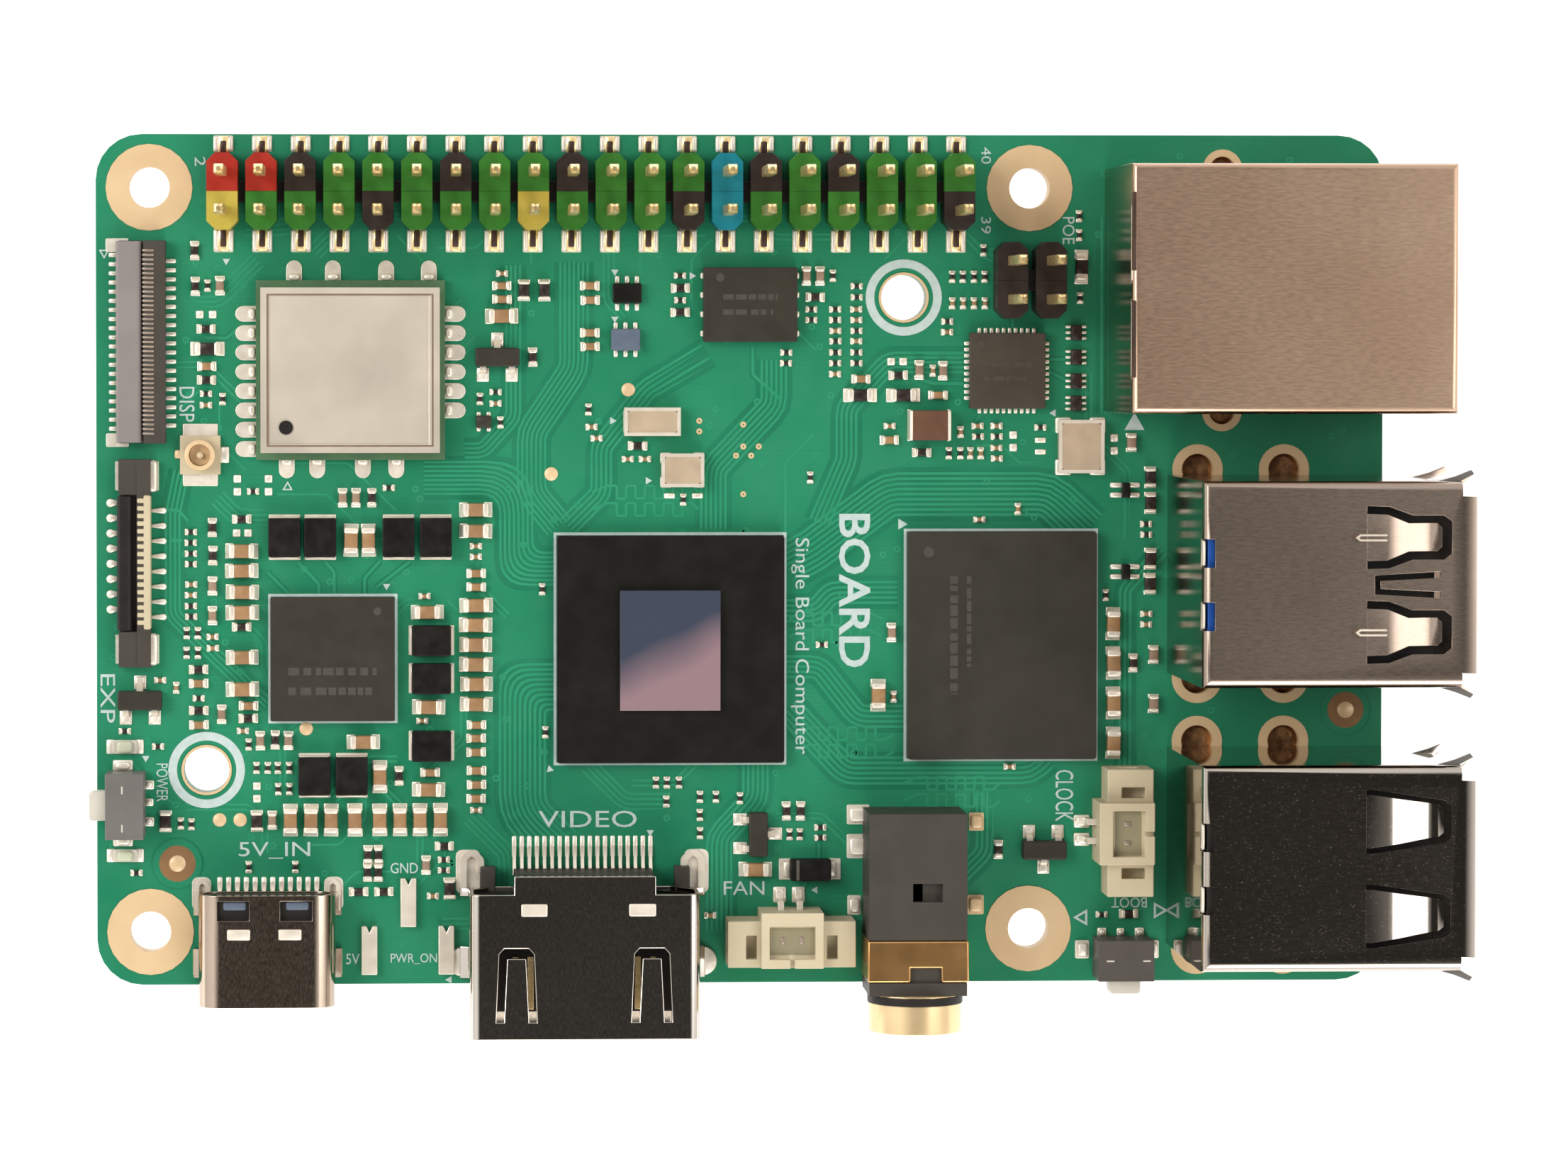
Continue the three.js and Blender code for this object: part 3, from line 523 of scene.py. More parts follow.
BARE = finish("fiducial_laminate", (150, 112, 72), (140, 104, 66), 1.0, (0.5, 0.65), 0.006, 0.1)
COMB = finish("comb_tin", (150, 136, 122), (138, 124, 111), 0.8, (0.34, 0.44), 0.002, 0.1,
              Metallic=0.4)
LENS = finish("indicator_lens", (206, 212, 182), (216, 218, 190), 1.0, (0.15, 0.25), 0.002, 0.2,
              Coat_Weight=0.4)
# Partly solder, partly painted shade: dark brown for the solder deep in the leg holes, where the hole is in
# shadow.
SHADED_HOLE_SOLDER = finish("hole_solder_and_shade", (176, 130, 88), (104, 72, 48), 0.9, (0.2, 0.34), 0.03, 0.6,
                Metallic=0.8)
SHIELD_TAN = sheet_metal("network_sheet", (205, 175, 150), (196, 164, 139), (0.32, 0.37),
                         bump=0.0005)
SHIELD_SATIN = sheet_metal("satin_sheet", (182, 164, 150), (172, 154, 140), (0.26, 0.29),
                           bump=0.0002)
SHIELD_MIRROR = sheet_metal("mirror_sheet", (204, 194, 182), (194, 184, 172), (0.08, 0.12),
                            bump=0.0002, specks=0.13)
TUBE_MIRROR = sheet_metal("video_sheet", (226, 218, 208), (216, 207, 196), (0.1, 0.16),
                          (1, 5, 1), 0.03)
TUBE_WARM = sheet_metal("power_sheet", (208, 190, 172), (198, 179, 161), (0.14, 0.22),
                        (1, 5, 1), 0.03)
CAN = finish("module_can", (206, 196, 180), (200, 190, 174), 7.0, (0.36, 0.46), 0.002, 0.12,
             Metallic=0.6)
LID = finish("crystal_lid", (206, 184, 157), (200, 178, 151), 2.0, (0.36, 0.46), 0.002, 0.09,
             Metallic=0.6)


# ---------------------------------------------------------------- carried-over CAD nodes

def dress(names, material, bevel=0.0, segments=2):
    """Gives CAD nodes a material, rounded edges and clean shading. Their shape and place stay."""
    for name in names.split():
        obj = nodes[name]
        for holder in obj.material_slots:
            holder.material = material
        weld = obj.modifiers.new("weld", "WELD")
        weld.merge_threshold = 0.002 * MM
        flat = obj.modifiers.new("flat", "DECIMATE")
        flat.decimate_type, flat.angle_limit = "DISSOLVE", math.radians(1)
        if bevel:
            soft = obj.modifiers.new("bevel", "BEVEL")
            soft.width, soft.segments = bevel * MM, segments
            soft.limit_method, soft.angle_limit = "ANGLE", math.radians(35)
        shade(obj)


# The CAD nodes: names, material, and how far and how finely their edges are rounded.
CAD_LOOKS = [
    ("circuit_board", MASK),
    ("mount_ring_1 mount_ring_2 mount_ring_3 mount_ring_4", GOLD, 0.015),
    ("processor_package", EPOXY, 0.05), ("processor_die", DIE, 0.015),
    ("memory_package", EPOXY_GREY, 0.04), ("power_chip", EPOXY_BROWN, 0.04),
    ("network_chip", CHIP_GREY, 0.05), ("flash_chip", EPOXY_BROWN, 0.05),
    ("wireless_carrier", LAMINATE, 0.02), ("wireless_shield", CAN, 0.06),
    ("crystal_1 crystal_2 crystal_3", LID, 0.06),
    ("network_shield", SHIELD_TAN, 0.09, 3),
    ("network_housing usb_b_upper_insert usb_b_lower_insert", BLACK, 0.05),
    ("network_contacts", PALE_GOLD, 0.03), ("network_indicator_1 network_indicator_2", LENS, 0.05),
    ("usb_a_shell", SHIELD_SATIN, 0.07), ("usb_b_shell", SHIELD_MIRROR, 0.07),
    ("usb_a_divider usb_b_divider", SHIELD_SATIN, 0.05),
    ("usb_a_upper_insert usb_a_lower_insert", BLUE, 0.08),
    ("video_shell", TUBE_MIRROR, 0.06), ("power_port_shell", TUBE_WARM, 0.06),
    ("video_insert power_port_insert", BLACK, 0.04),
    ("audio_body", BODY_GREY, 0.1), ("audio_barrel", BARREL, 0.06), ("audio_saddle", SADDLE, 0.16, 3),
    ("fan_socket_housing clock_socket_housing", CREAM, 0.07),
    ("fan_socket_pin_1 fan_socket_pin_2 clock_socket_pin_1 clock_socket_pin_2", TIN, 0.03),
    ("antenna_base", CREAM, 0.03), ("antenna_ring", GOLD, 0.05),
    ("display_socket_housing expansion_socket_housing", BODY_GREY, 0.04),
    ("expansion_socket_latch", BLACK, 0.04), ("display_socket_latch", LATCH_GREY, 0.05),
    ("power_button_body", CAP_GREY, 0.05), ("boot_button_body", CAP_DARK, 0.05),
    ("power_button_plunger boot_button_plunger", WHITE, 0.05),
    ("ground_tab supply_tab power_on_tab", TIN, 0.06),
    ("card_socket_shell", SHIELD_SATIN, 0.05), ("card_socket_base", BLACK, 0.05),
]


def dress_cad_nodes():
    for looks in CAD_LOOKS:
        dress(*looks)


# ---------------------------------------------------------------- board: copper, holes, print

# Each bundle: its middle line, how many tracks, their pitch, and the radius of its bends.
BUNDLES = [
    ([(21.5, 33.4), (27.6, 33.4), (27.6, 27.4), (30.4, 27.4)], 8, 0.3, 2.4),
    ([(30.3, 19.6), (28.0, 19.6), (28.0, 11.4), (30.5, 8.9)], 10, 0.33, 2.6),
    ([(31.4, 47.6), (31.4, 40.6), (28.6, 36.4), (28.6, 32.4), (30.4, 30.2)], 7, 0.3, 1.8),
    ([(41.0, 3.4), (41.0, 9.6), (43.4, 12.2), (43.4, 14.6)], 6, 0.32, 0.8),
    ([(45.4, 27.6), (47.2, 28.6), (52.2, 32.3), (62.8, 32.3), (65.4, 29.9)], 9, 0.34, 0.7),
    ([(45.5, 18.2), (49.4, 14.0), (61.6, 14.0), (62.6, 14.9)], 6, 0.34, 0.7),
    ([(45.4, 24.6), (47.4, 24.6), (48.4, 25.8), (52.8, 25.8)], 5, 0.34, 0.5),
    ([(45.4, 20.9), (47.6, 20.9), (50.2, 17.6), (53.2, 17.6)], 5, 0.34, 0.5),
    ([(66.9, 37.6), (66.9, 50.6)], 5, 0.3, 0.5),
    ([(40.6, 30.0), (40.6, 34.0), (44.6, 38.2), (44.6, 41.2)], 6, 0.32, 0.8),
    ([(47.6, 30.4), (49.4, 34.6), (49.4, 38.0), (52.2, 41.0), (57.2, 41.0)], 5, 0.32, 0.8),
    ([(24.2, 35.2), (25.4, 35.2), (27.4, 37.4), (27.4, 47.4)], 4, 0.3, 0.8),
    ([(5.6, 33.9), (5.0, 31.0), (5.0, 24.4), (11.2, 18.4)], 4, 0.3, 0.8),
    ([(67.9, 13.2), (67.9, 26.0), (70.4, 28.6)], 3, 0.34, 0.5),
    ([(31.0, 30.2), (33.2, 32.4), (33.2, 35.4), (36.2, 39.2), (40.2, 41.6)], 5, 0.32, 0.8),
    ([(54.0, 4.0), (58.6, 8.6), (58.6, 12.6)], 4, 0.34, 0.6),
]
# Single tracks, which leave small parts on their own.
TRACKS = [
    [(13.2, 27.9), (14.6, 26.4), (14.6, 25.8)], [(15.0, 27.9), (15.6, 27.2), (15.6, 25.8)],
    [(18.6, 27.9), (17.6, 26.8), (17.6, 25.8)], [(20.6, 27.9), (18.4, 26.2)],
    [(11.2, 27.2), (12.6, 25.8)], [(4.4, 31.3), (5.4, 31.3), (6.0, 30.6)],
    [(4.8, 29.3), (5.6, 29.3)], [(32.4, 4.2), (32.4, 2.0)], [(7.2, 42.6), (8.6, 42.6), (9.2, 43.2)],
    [(46.3, 5.8), (47.6, 8.2), (47.6, 9.2)], [(60.4, 42.9), (60.4, 44.6)],
    [(57.2, 39.6), (55.2, 39.6), (54.2, 39.9)], [(57.2, 41.6), (54.6, 41.6)],
    [(62.8, 41.2), (64.0, 41.2)], [(62.8, 40.4), (64.0, 39.8)], [(43.2, 42.0), (43.2, 40.2), (45.0, 38.6)],
]
MEANDERS = [(47.0, 51.6, 15.3), (46.6, 50.8, 22.9), (54.2, 58.6, 12.0), (33.6, 38.6, 31.3)]


def meander(x0, x1, y, swing=0.42, step=0.62):
    """Square wave that makes a track longer."""
    line, x, side = [(x0 - 1, y)], x0, 1
    while x < x1:
        line += [(x, y + side * swing), (x + step, y + side * swing)]
        x, side = x + step, -side
    return line + [(x1 + 1, y)]


TEST_POINTS = [(34.98, 39.2), (29.9, 33.65), (13.75, 16.88), (8.05, 10.87), (9.4, 10.87)]
OPEN_VIAS = [(39.67, 37.15), (39.67, 36.45), (42.58, 36.9), (42.58, 35.45), (43.6, 35.45),
             (42.1, 34.85), (43.1, 34.85), (42.58, 32.3)]
FIDUCIALS = [(5.27, 8.0), (82.6, 17.95)]
COOLER_HOLES = [(53.18, 45.28), (7.2, 14.17)]
USB_BACK, USB_LEG_Y = 70.7, 6.9
USB_CENTRES = {"usb_a": 27.0, "usb_b": 9.0}
USB_LEGS = [(USB_BACK + x, centre + side * USB_LEG_Y) for centre in USB_CENTRES.values()
            for x in (2.0, 7.75) for side in (-1, 1)]
LAN_LEGS = [(74.3, 53.75), (74.3, 37.75)]
VIA_TRIES, STRAY_TRIES, STRAY_PITCH = 260, 900, 0.34


def stray_line():
    """Two or three straight runs that turn by 45 degrees, somewhere on the open board."""
    x, y, heading = random.uniform(4, 66), random.uniform(5, 51), random.randrange(8)
    line = [(x, y)]
    for _ in range(random.choice((2, 3))):
        run = random.uniform(1.4, 4.6)
        x += run * math.cos(heading * math.pi / 4)
        y += run * math.sin(heading * math.pi / 4)
        line.append((x, y))
        heading += random.choice((-1, 1))
    return line


def zones_along(line, reach, step=0.6):
    """Round zones, reach wide, at even steps along the line."""
    zones = []
    for (a, b), (c, d) in zip(line, line[1:]):
        count = max(1, round(math.hypot(c - a, d - b) / step))
        zones += [(a + (c - a) * i / count, b + (d - b) * i / count, reach) for i in range(count + 1)]
    return zones


def is_clear(line, half, zones):
    """Whether the line, half wide on each side, stays on the board and out of the zones."""
    return all(1 < x < 69 and 1 < y < 55 and all(math.hypot(x - a, y - b) > reach + half
                                                for a, b, reach in zones)
               for x, y, _ in zones_along(line, 0))


def make_copper():
    """Tracks under the mask. Each bundle has its own height, so that no two faces coincide."""
    kit = Kit()
    for step, (line, count, pitch, radius) in enumerate(BUNDLES):
        radius = max(radius, count * pitch / 2 + 0.35)
        kit.lane(line, radius, 0, count * pitch + 0.5, 0.002 + 0.0006 * step, 1)
        for i in range(count):
            offset = (i - (count - 1) / 2) * pitch
            kit.lane(line, radius, offset, pitch * 0.52, 0.013 + 0.0004 * step)
    for line in TRACKS:
        kit.lane(line, 0.3, 0, 0.46, 0.0016, 1)
        kit.lane(line, 0.3, 0, 0.2, 0.0125)
    for x0, x1, y in MEANDERS:
        for lift in (0, 1.15):
            kit.track(rounded(meander(x0, x1, y + lift), 0.12), 0.16, -0.01, 0.012)
    keep_clear = [(x, y, 3.6) for x in (3.5, 61.5) for y in (3.5, 52.5)]
    keep_clear += [(x, y, 2.1) for x, y in COOLER_HOLES + FIDUCIALS + USB_LEGS + LAN_LEGS]
    for _ in range(VIA_TRIES):
        x, y = random.uniform(1, 84), random.uniform(1, 55)
        if all(math.hypot(x - a, y - b) > reach for a, b, reach in keep_clear):
            kit.ring(x, y, 0.1, 0.24, -0.01, 0.012, 0, 10)
    for line, count, pitch, _ in BUNDLES:
        keep_clear += zones_along(line, count * pitch / 2 + 0.3)
    for line in TRACKS + [[(x0 - 1, y), (x1 + 1, y + 0.6)] for x0, x1, y in MEANDERS]:
        keep_clear += zones_along(line, 0.9)
    for _ in range(STRAY_TRIES):
        line, count = stray_line(), random.choice((1, 1, 2, 2, 3, 4))
        half = count * STRAY_PITCH / 2
        if is_clear(line, half, keep_clear):
            keep_clear += zones_along(line, half + 0.15)
            for i in range(count):
                kit.lane(line, 0.4 + half, (i - (count - 1) / 2) * STRAY_PITCH, 0.15, 0.0105)
    kit.build("masked_tracks", [TRACK, GAP], "circuit_board")


def make_gold_marks():
    kit = Kit()
    for x, y in TEST_POINTS:
        kit.prism(disc(x, y, 0.45), SUNK, 0.04, 0, 0.02)
    for x, y in OPEN_VIAS:
        kit.ring(x, y, 0.06, 0.2, SUNK, 0.03, 0, 12)
    for x, y in FIDUCIALS:
        kit.prism(disc(x, y, 0.55), SUNK, 0.04, 0, 0.02)
        kit.ring(x, y, 0.55, 1.2, SUNK, 0.008, 1)
        kit.ring(x, y, 1.62, 1.74, SUNK, 0.008, 2)
    for x, y in COOLER_HOLES:
        kit.ring(x, y, 1.5, 1.66, SUNK, 0.03, 0)
        kit.ring(x, y, 1.66, 1.74, SUNK, 0.008, 2)
    kit.build("gold_marks", [GOLD, BARE, GAP], "gold")


def make_leg_holes():
    """Plated holes under the port shells, with the solder that holds each leg deep inside, coloured dark
    brown partly as painted shade in the hole.
    """
    kit = Kit()
    for legs, radius, rim in ((USB_LEGS, 1.15, 1.68), (LAN_LEGS, 0.95, 1.32)):
        for x, y in legs:
            kit.ring(x, y, radius - 0.06, rim, SUNK, 0.035)
            kit.ring(x, y, radius - 0.1, radius, -BOARD_THICKNESS - 0.03, 0.03)
            kit.ring(x, y, radius - 0.06, rim, -BOARD_THICKNESS - 0.035, -BOARD_THICKNESS + 0.02)
            # Solder plug, its dark brown partly painted shade.
            kit.loft([level(disc(x, y, radius - 0.1), z) for z in (-BOARD_THICKNESS - 0.2, -0.75)]
                     + [level(disc(x, y, radius * 0.6), -0.62)], 1)
    kit.build("leg_holes", [GOLD, SHADED_HOLE_SOLDER], "gold")


def triangle(kit, x, y, size, turn, solid=True):
    """Pin-one mark. It points up before it is turned."""
    kit.at(x, y, 0, turn)
    outline = [(-size * 0.58, -size / 2), (size * 0.58, -size / 2), (0, size / 2)]
    if solid:
        kit.prism(outline, SUNK, PRINT_TOP)
    else:
        kit.loop(outline, shifted(outline, size * 0.15, True), SUNK, PRINT_TOP)
    kit.at()


# How far words are turned, then each word and the rectangle that it fills.
PRINTED_WORDS = [
    (-90, [("40", 58.3, 58.95, 54.1, 55.2), ("39", 58.3, 58.95, 49.5, 50.6),
           ("POE", 63.7, 64.5, 48.8, 50.6)]),
    (0, [("5V_IN", 9.3, 14.0, 8.3, 9.4), ("GND", 19.3, 21.1, 7.3, 8.0), ("5V", 16.35, 17.25, 1.3, 2.0),
         ("PWR_ON", 19.3, 22.35, 1.3, 2.0), ("VIDEO", 29.05, 35.55, 10.3, 11.4),
         ("FAN", 41.3, 44.0, 5.8, 6.7)]),
    (-90, [("2", 6.5, 7.2, 53.9, 54.5), ("DISP", 5.45, 6.45, 37.1, 39.4), ("EXP", 0.25, 1.2, 17.3, 20.5),
           ("POWER", 3.9, 4.65, 12.1, 14.6), ("CLOCK", 63.3, 64.5, 10.6, 14.0),
           ("Single Board Computer", 45.75, 46.95, 15.1, 29.4), ("BOARD", 48.9, 51.0, 20.85, 31.0)]),
    (180, [("BOOT", 67.05, 69.4, 4.85, 5.53)]),
]


def make_print():
    """White print: outlines, marks, and generic words where the labels are."""
    kit = Kit()
    for x, y in COOLER_HOLES:
        kit.ring(x, y, 1.95, 2.52, SUNK, PRINT_TOP, 0, 48)
    for outline in ((30.15, 45.35, 14.5, 29.7), (53.3, 66.0, 14.7, 29.92),
                    (11.35, 19.68, 17.32, 25.68)):
        kit.border(*outline, 0.18, PRINT_TOP)
    for x, y, turn in ((8.55, 47.6, 180), (34.1, 46.9, 180), (34.1, 43.8, 180), (39.25, 46.7, -90),
                       (34.0, 37.15, -90), (36.35, 33.2, -90), (63.05, 37.65, 90), (29.75, 14.1, 135),
                       (36.5, 10.0, -60), (47.3, 6.1, 90), (53.0, 30.4, 30), (19.05, 26.2, 180),
                       (3.2, 14.9, 180), (23.1, 0.25, 90)):
        triangle(kit, x, y, 0.42 if (x, y) != (53.0, 30.4) else 0.62, turn)
    triangle(kit, 68.5, 37.1, 1.15, 0)
    for x, y, size, turn in ((0.55, 48.1, 0.6, 180), (12.55, 32.9, 0.6, 0), (65.2, 4.35, 0.95, -30),
                             (70.1, 4.8, 0.95, 30)):
        triangle(kit, x, y, size, turn, False)
    for turn, words in PRINTED_WORDS:
        for text, *place in words:
            kit.word(text, *place, PRINT_TOP, turn=turn, bold=0.02 if text == "BOARD" else 0.0)
    kit.build("white_print", [SILK], "white_plastic")


# ---------------------------------------------------------------- pin headers

PIN_ROWS = ("YGGGKGGGYGGGKBGGGGGK", "RRKGGGKGGKGGGBKGKGGG")
CELL_COLOURS = {
    "R": ("red", (178, 44, 26), (168, 38, 22)), "Y": ("yellow", (197, 178, 76), (188, 169, 68)),
    "G": ("green", (52, 125, 38), (46, 116, 33)), "B": ("blue", (12, 133, 151), (8, 124, 142)),
    "K": ("black", (44, 34, 30), (50, 39, 35)),
}


def header_cell(kit, x, y, side):
    """Insulator round one pin. Its outer end is chamfered and its inner end meets the other row."""
    half, inner, outer, wide = 1.02, 1.265, 1.24, 0.56
    outline = [(-half, -inner), (half, -inner), (half, outer - wide), (half - wide, outer),
               (-half + wide, outer), (-half, outer - wide)]
    kit.at(x, y, 0, 0 if side > 0 else 180).prism(outline, 0.05, 2.54, 0, 0.015).at()


def header_pin(kit, x, y, side, foot):
    half, shoulder, tip = 0.32, 8.15, 8.6
    rings = [(half, 1.0), (half, shoulder), (half * 0.82, shoulder + 0.25), (half * 0.45, tip)]
    kit.loft([level(rect(x - a, x + a, y - a, y + a, 0.05), z) for a, z in rings])
    near, far = foot
    kit.block(x - 0.34, x + 0.34, y + side * near, y + side * (far - 0.1), 0.02, 0.2, 0, 0.04)
    # Painted shade in the middle of the foot.
    kit.block(x - 0.2, x + 0.2, y + side * near, y + side * (far - 0.4), 0.02, 0.24, 1, 0.04)
    kit.plate(x, y + side * (near + far) / 2, 1.3, abs(far - near) - 0.1, 0.06, 2, 0.03, 0.1)
    for flank in (-1, 1):
        inner, outer = sorted((x + flank * 0.32, x + flank * 0.62))
        kit.block(inner, outer, y + side * (near + 0.1), y + side * (far - 0.15), 0.0, 0.2, 2, 0.09)


def make_header(prefix, node, columns, rows, feet):
    low, high = extent(node)
    middle = (low + high) / 2
    first = middle.x - (columns - 1) * PITCH / 2
    cells = {}
    pins = Kit()
    for side, row, foot in zip((-1, 1), rows, feet):
        for i, colour in enumerate(row):
            x, y = first + i * PITCH, middle.y + side * PITCH / 2
            header_cell(cells.setdefault(colour, Kit()), x, y, side)
            header_pin(pins, x, y, side, foot)
    web = Kit().block(low.x + 0.4, high.x - 0.4, middle.y - 0.7, middle.y + 0.7, 0.3, 1.6, 0, 0.08)
    web.build(f"{prefix}_web", [BLACK], "black_plastic", replaces=[node])
    for colour, kit in cells.items():
        name, *shades = CELL_COLOURS[colour]
        plastic = finish(f"{prefix}_{name}_cell", *shades, 1.2, (0.38, 0.5), 0.006, 0.09, 0.06)
        kit.build(f"{prefix}_cells_{name}", [plastic], "black_plastic")
    pins.build(f"{prefix}_pins", [PALE_GOLD, FOOT_SHADE, SOLDER], "gold")


def make_headers():
    make_header("header", "pin_header", 20, PIN_ROWS, ((1.13, 2.73), (1.33, 2.48)))
    make_header("supply", "supply_header", 2, ("KK", "KK"), ((0.7, 1.1), (0.7, 1.1)))


# ---------------------------------------------------------------- small surface parts

# Each kind: length, width and height of the part, the length of its metal ends, how far the
# solder reaches past them, and whether its body is tan, grey or dark.
KINDS = {
    "large": (1.7, 0.9, 0.72, 0.4, 0.24, 0), "medium": (1.02, 0.53, 0.45, 0.25, 0.13, 0),
    "medium_grey": (1.02, 0.55, 0.45, 0.25, 0.13, 3), "medium_dark": (1.02, 0.53, 0.36, 0.26, 0.13, 2),
    "tiny_dark": (0.6, 0.34, 0.25, 0.17, 0.1, 2), "tiny": (0.6, 0.34, 0.28, 0.2, 0.1, 0),
    "wide": (1.05, 0.62, 0.5, 0.24, 0.1, 3), "diode": (1.2, 0.72, 0.5, 0.22, 0.12, 2),
    "link": (1.7, 0.82, 0.42, 0.42, 0.28, 2), "tall": (2.75, 2.05, 1.25, 0.22, 0.05, 5),
}
# Where the parts are, in the order in which they are placed. Flat ones lie along X and are listed by
# column: X, then each Y. Upright ones lie along Y and are listed by row: Y, then each X.
FLAT_PARTS = {
    "large": [(26.65, 44.05), (9.55, 28.6, 27.3, 25.9, 24.55, 21.6, 19.5), (21.75, 24.55),
              (21.8, 18.3, 12.85), (17.5, 16.0), (24.93, 31.3, 29.9, 25.0, 23.7, 22.4, 21.1),
              (24.95, 19.8, 18.47), (43.4, 7.5)],
    "medium": [(26.65, 46.05, 45.15), (32.45, 46.05, 45.1, 42.95, 42.05), (7.25, 40.75), (50.35, 39.9),
               (6.7, 19.88, 17.15), (9.95, 18.4), (21.9, 13.97),
               (24.95, 27.1, 26.2, 17.1, 16.22, 15.3, 14.08, 13.15, 12.23), (52.25, 35.87),
               (55.45, 38.83)],
    "medium_dark": [(7.2, 43.2), (7.25, 39.85), (9.55, 30.7), (9.5, 23.6), (6.7, 20.8, 18.1),
                    (9.95, 17.57), (38.4, 45.9, 44.3), (47.3, 45.3), (52.8, 40.15), (54.4, 35.05),
                    (35.6, 35.5), (22.85, 9.1), (17.2, 6.1), (18.85, 6.1), (68.2, 4.45)],
    "tiny_dark": [(7.2, 38.95), (26.25, 39.05), (38.4, 46.72, 45.1), (45.4, 41.65, 40.95),
                  (6.2, 29.85, 29.15, 28.43, 27.74, 24.98, 24.28), (10.3, 32.52), (19.2, 32.75),
                  (4.0, 15.73), (1.85, 16.75), (2.6, 7.4), (6.7, 18.9), (47.8, 22.35), (58.1, 36.1),
                  (59.35, 36.1), (62.25, 36.7), (22.8, 8.2, 7.5), (47.7, 10.25, 9.57), (66.4, 4.4),
                  (69.3, 30.3, 29.6), (48.65, 44.5, 43.8, 42.4, 41.66, 40.95),
                  (50.05, 46.03, 45.3, 43.08, 41.66, 40.95), (47.07, 44.5, 43.8), (56.05, 43.7)],
    "tiny": [(26.65, 46.85), (26.25, 38.3), (7.2, 38.2), (6.2, 26.4, 25.7), (7.62, 22.95, 22.2),
             (32.55, 36.75), (32.9, 36.0), (34.95, 34.63), (36.1, 34.63), (24.93, 28.9, 28.2),
             (24.95, 11.46), (21.55, 25.6), (21.4, 17.37), (4.15, 20.1), (9.6, 16.75), (52.25, 36.8),
             (58.1, 36.8), (59.35, 36.8, 35.35, 34.65), (58.2, 30.6), (60.25, 14.25), (40.4, 4.45),
             (22.1, 5.8), (69.3, 24.35, 23.65), (48.65, 43.08, 40.23), (50.05, 44.5, 43.8, 42.4),
             (56.05, 43.0)],
    "link": [(7.3, 41.9), (50.3, 38.83), (53.15, 38.83)],
    "tall": [(54.85, 36.85)],
}
UPRIGHT_PARTS = {
    "large": [(29.3, 16.7, 17.85), (13.7, 18.6), (23.7, 67.1), (21.1, 67.1), (18.45, 67.1), (15.8, 67.1),
              (19.0, 51.5), (10.85, 12.7, 14.05, 15.4, 16.97, 18.6, 19.93, 21.25, 22.6)],
    "medium_grey": [(46.05, 8.13), (32.1, 16.15, 17.05), (26.3, 7.62), (24.35, 7.62), (17.85, 8.2),
                    (16.1, 10.73, 12.6), (10.85, 11.5), (46.7, 46.75, 47.65), (40.5, 54.2),
                    (40.45, 55.8), (7.85, 21.63), (23.15, 52.4)],
    "wide": [(35.7, 68.3), (21.65, 69.8), (18.4, 69.8), (21.7, 71.5)],
    "medium_dark": [(48.35, 6.47), (46.0, 6.5), (30.15, 7.62), (28.3, 7.62), (32.1, 18.1),
                    (41.35, 28.68), (16.15, 11.7), (13.75, 19.87), (11.35, 45.45, 46.4), (8.75, 59.5),
                    (8.55, 17.8, 18.5), (7.4, 17.8, 18.5), (21.1, 68.45)],
    "diode": [(33.4, 69.55), (31.7, 69.55), (28.0, 69.55), (26.35, 69.55), (31.7, 71.4), (28.0, 71.4),
              (26.4, 71.4), (45.75, 28.1, 29.45), (10.8, 4.5, 10.5), (6.3, 23.2)],
    "tiny_dark": [(46.05, 7.3), (38.6, 8.27, 25.2), (37.05, 26.55), (37.9, 32.34), (31.95, 38.6),
                  (26.05, 29.3), (16.6, 29.5), (23.2, 5.9, 6.65), (21.9, 5.9, 6.65), (15.85, 9.97),
                  (14.3, 10.5, 11.2, 11.87, 12.63), (12.9, 11.9, 12.63), (10.65, 5.5), (10.6, 6.2),
                  (7.75, 9.97, 13.03), (13.25, 36.8, 37.55, 38.35), (12.0, 37.5), (12.3, 39.73, 40.78),
                  (12.2, 42.38), (11.1, 39.73), (9.9, 39.73), (9.8, 45.65, 46.35), (46.72, 48.5),
                  (46.65, 56.4, 57.1, 57.85, 58.55), (48.4, 58.45), (50.65, 64.8), (49.4, 64.8),
                  (45.25, 64.87), (35.0, 56.2, 56.95), (33.4, 47.0), (25.6, 66.6)],
    "tiny": [(40.45, 55.1), (19.6, 5.2), (44.9, 56.4, 57.1, 57.85, 58.55), (36.4, 56.95),
             (35.0, 57.6, 58.3), (31.3, 60.75), (18.9, 52.55)],
    "link": [(47.3, 64.95)],
}


def two_ended(kit, kind, x, y, turn):
    """Chip resistor or capacitor, with the solder that climbs its metal ends from the pads."""
    length, width, height, end, reach, tone = KINDS[kind]
    length, width = length * random.uniform(0.98, 1.02), width * random.uniform(0.97, 1.03)
    half, side = length / 2, width / 2
    kit.at(x + random.uniform(-0.02, 0.02), y, 0, turn + random.uniform(-1.2, 1.2))
    kit.block(-half + end * 0.8, half - end * 0.8, -side + 0.02, side - 0.02, 0.04, height - 0.02,
              tone, 0.05)
    for way in (-1, 1):
        kit.block(way * half, way * (half - end), -side, side, 0.02, height, 1, min(0.08, height / 5))
        kit.block(way * (half - end * 0.7), way * (half + reach), -side - 0.04, side + 0.04,
                  SUNK, 0.05, 4, 0.02)
        climb = [(half - 0.04, 0.02), (half + reach * 0.9, 0.02), (half + reach * 0.85, 0.07),
                 (half + reach * 0.35, height * 0.22), (half + reach * 0.08, height * 0.62),
                 (half - 0.04, height * 0.7)]
        kit.slab([(way * a, b) for a, b in climb], -side + 0.03, side - 0.03, 4)
    kit.at()


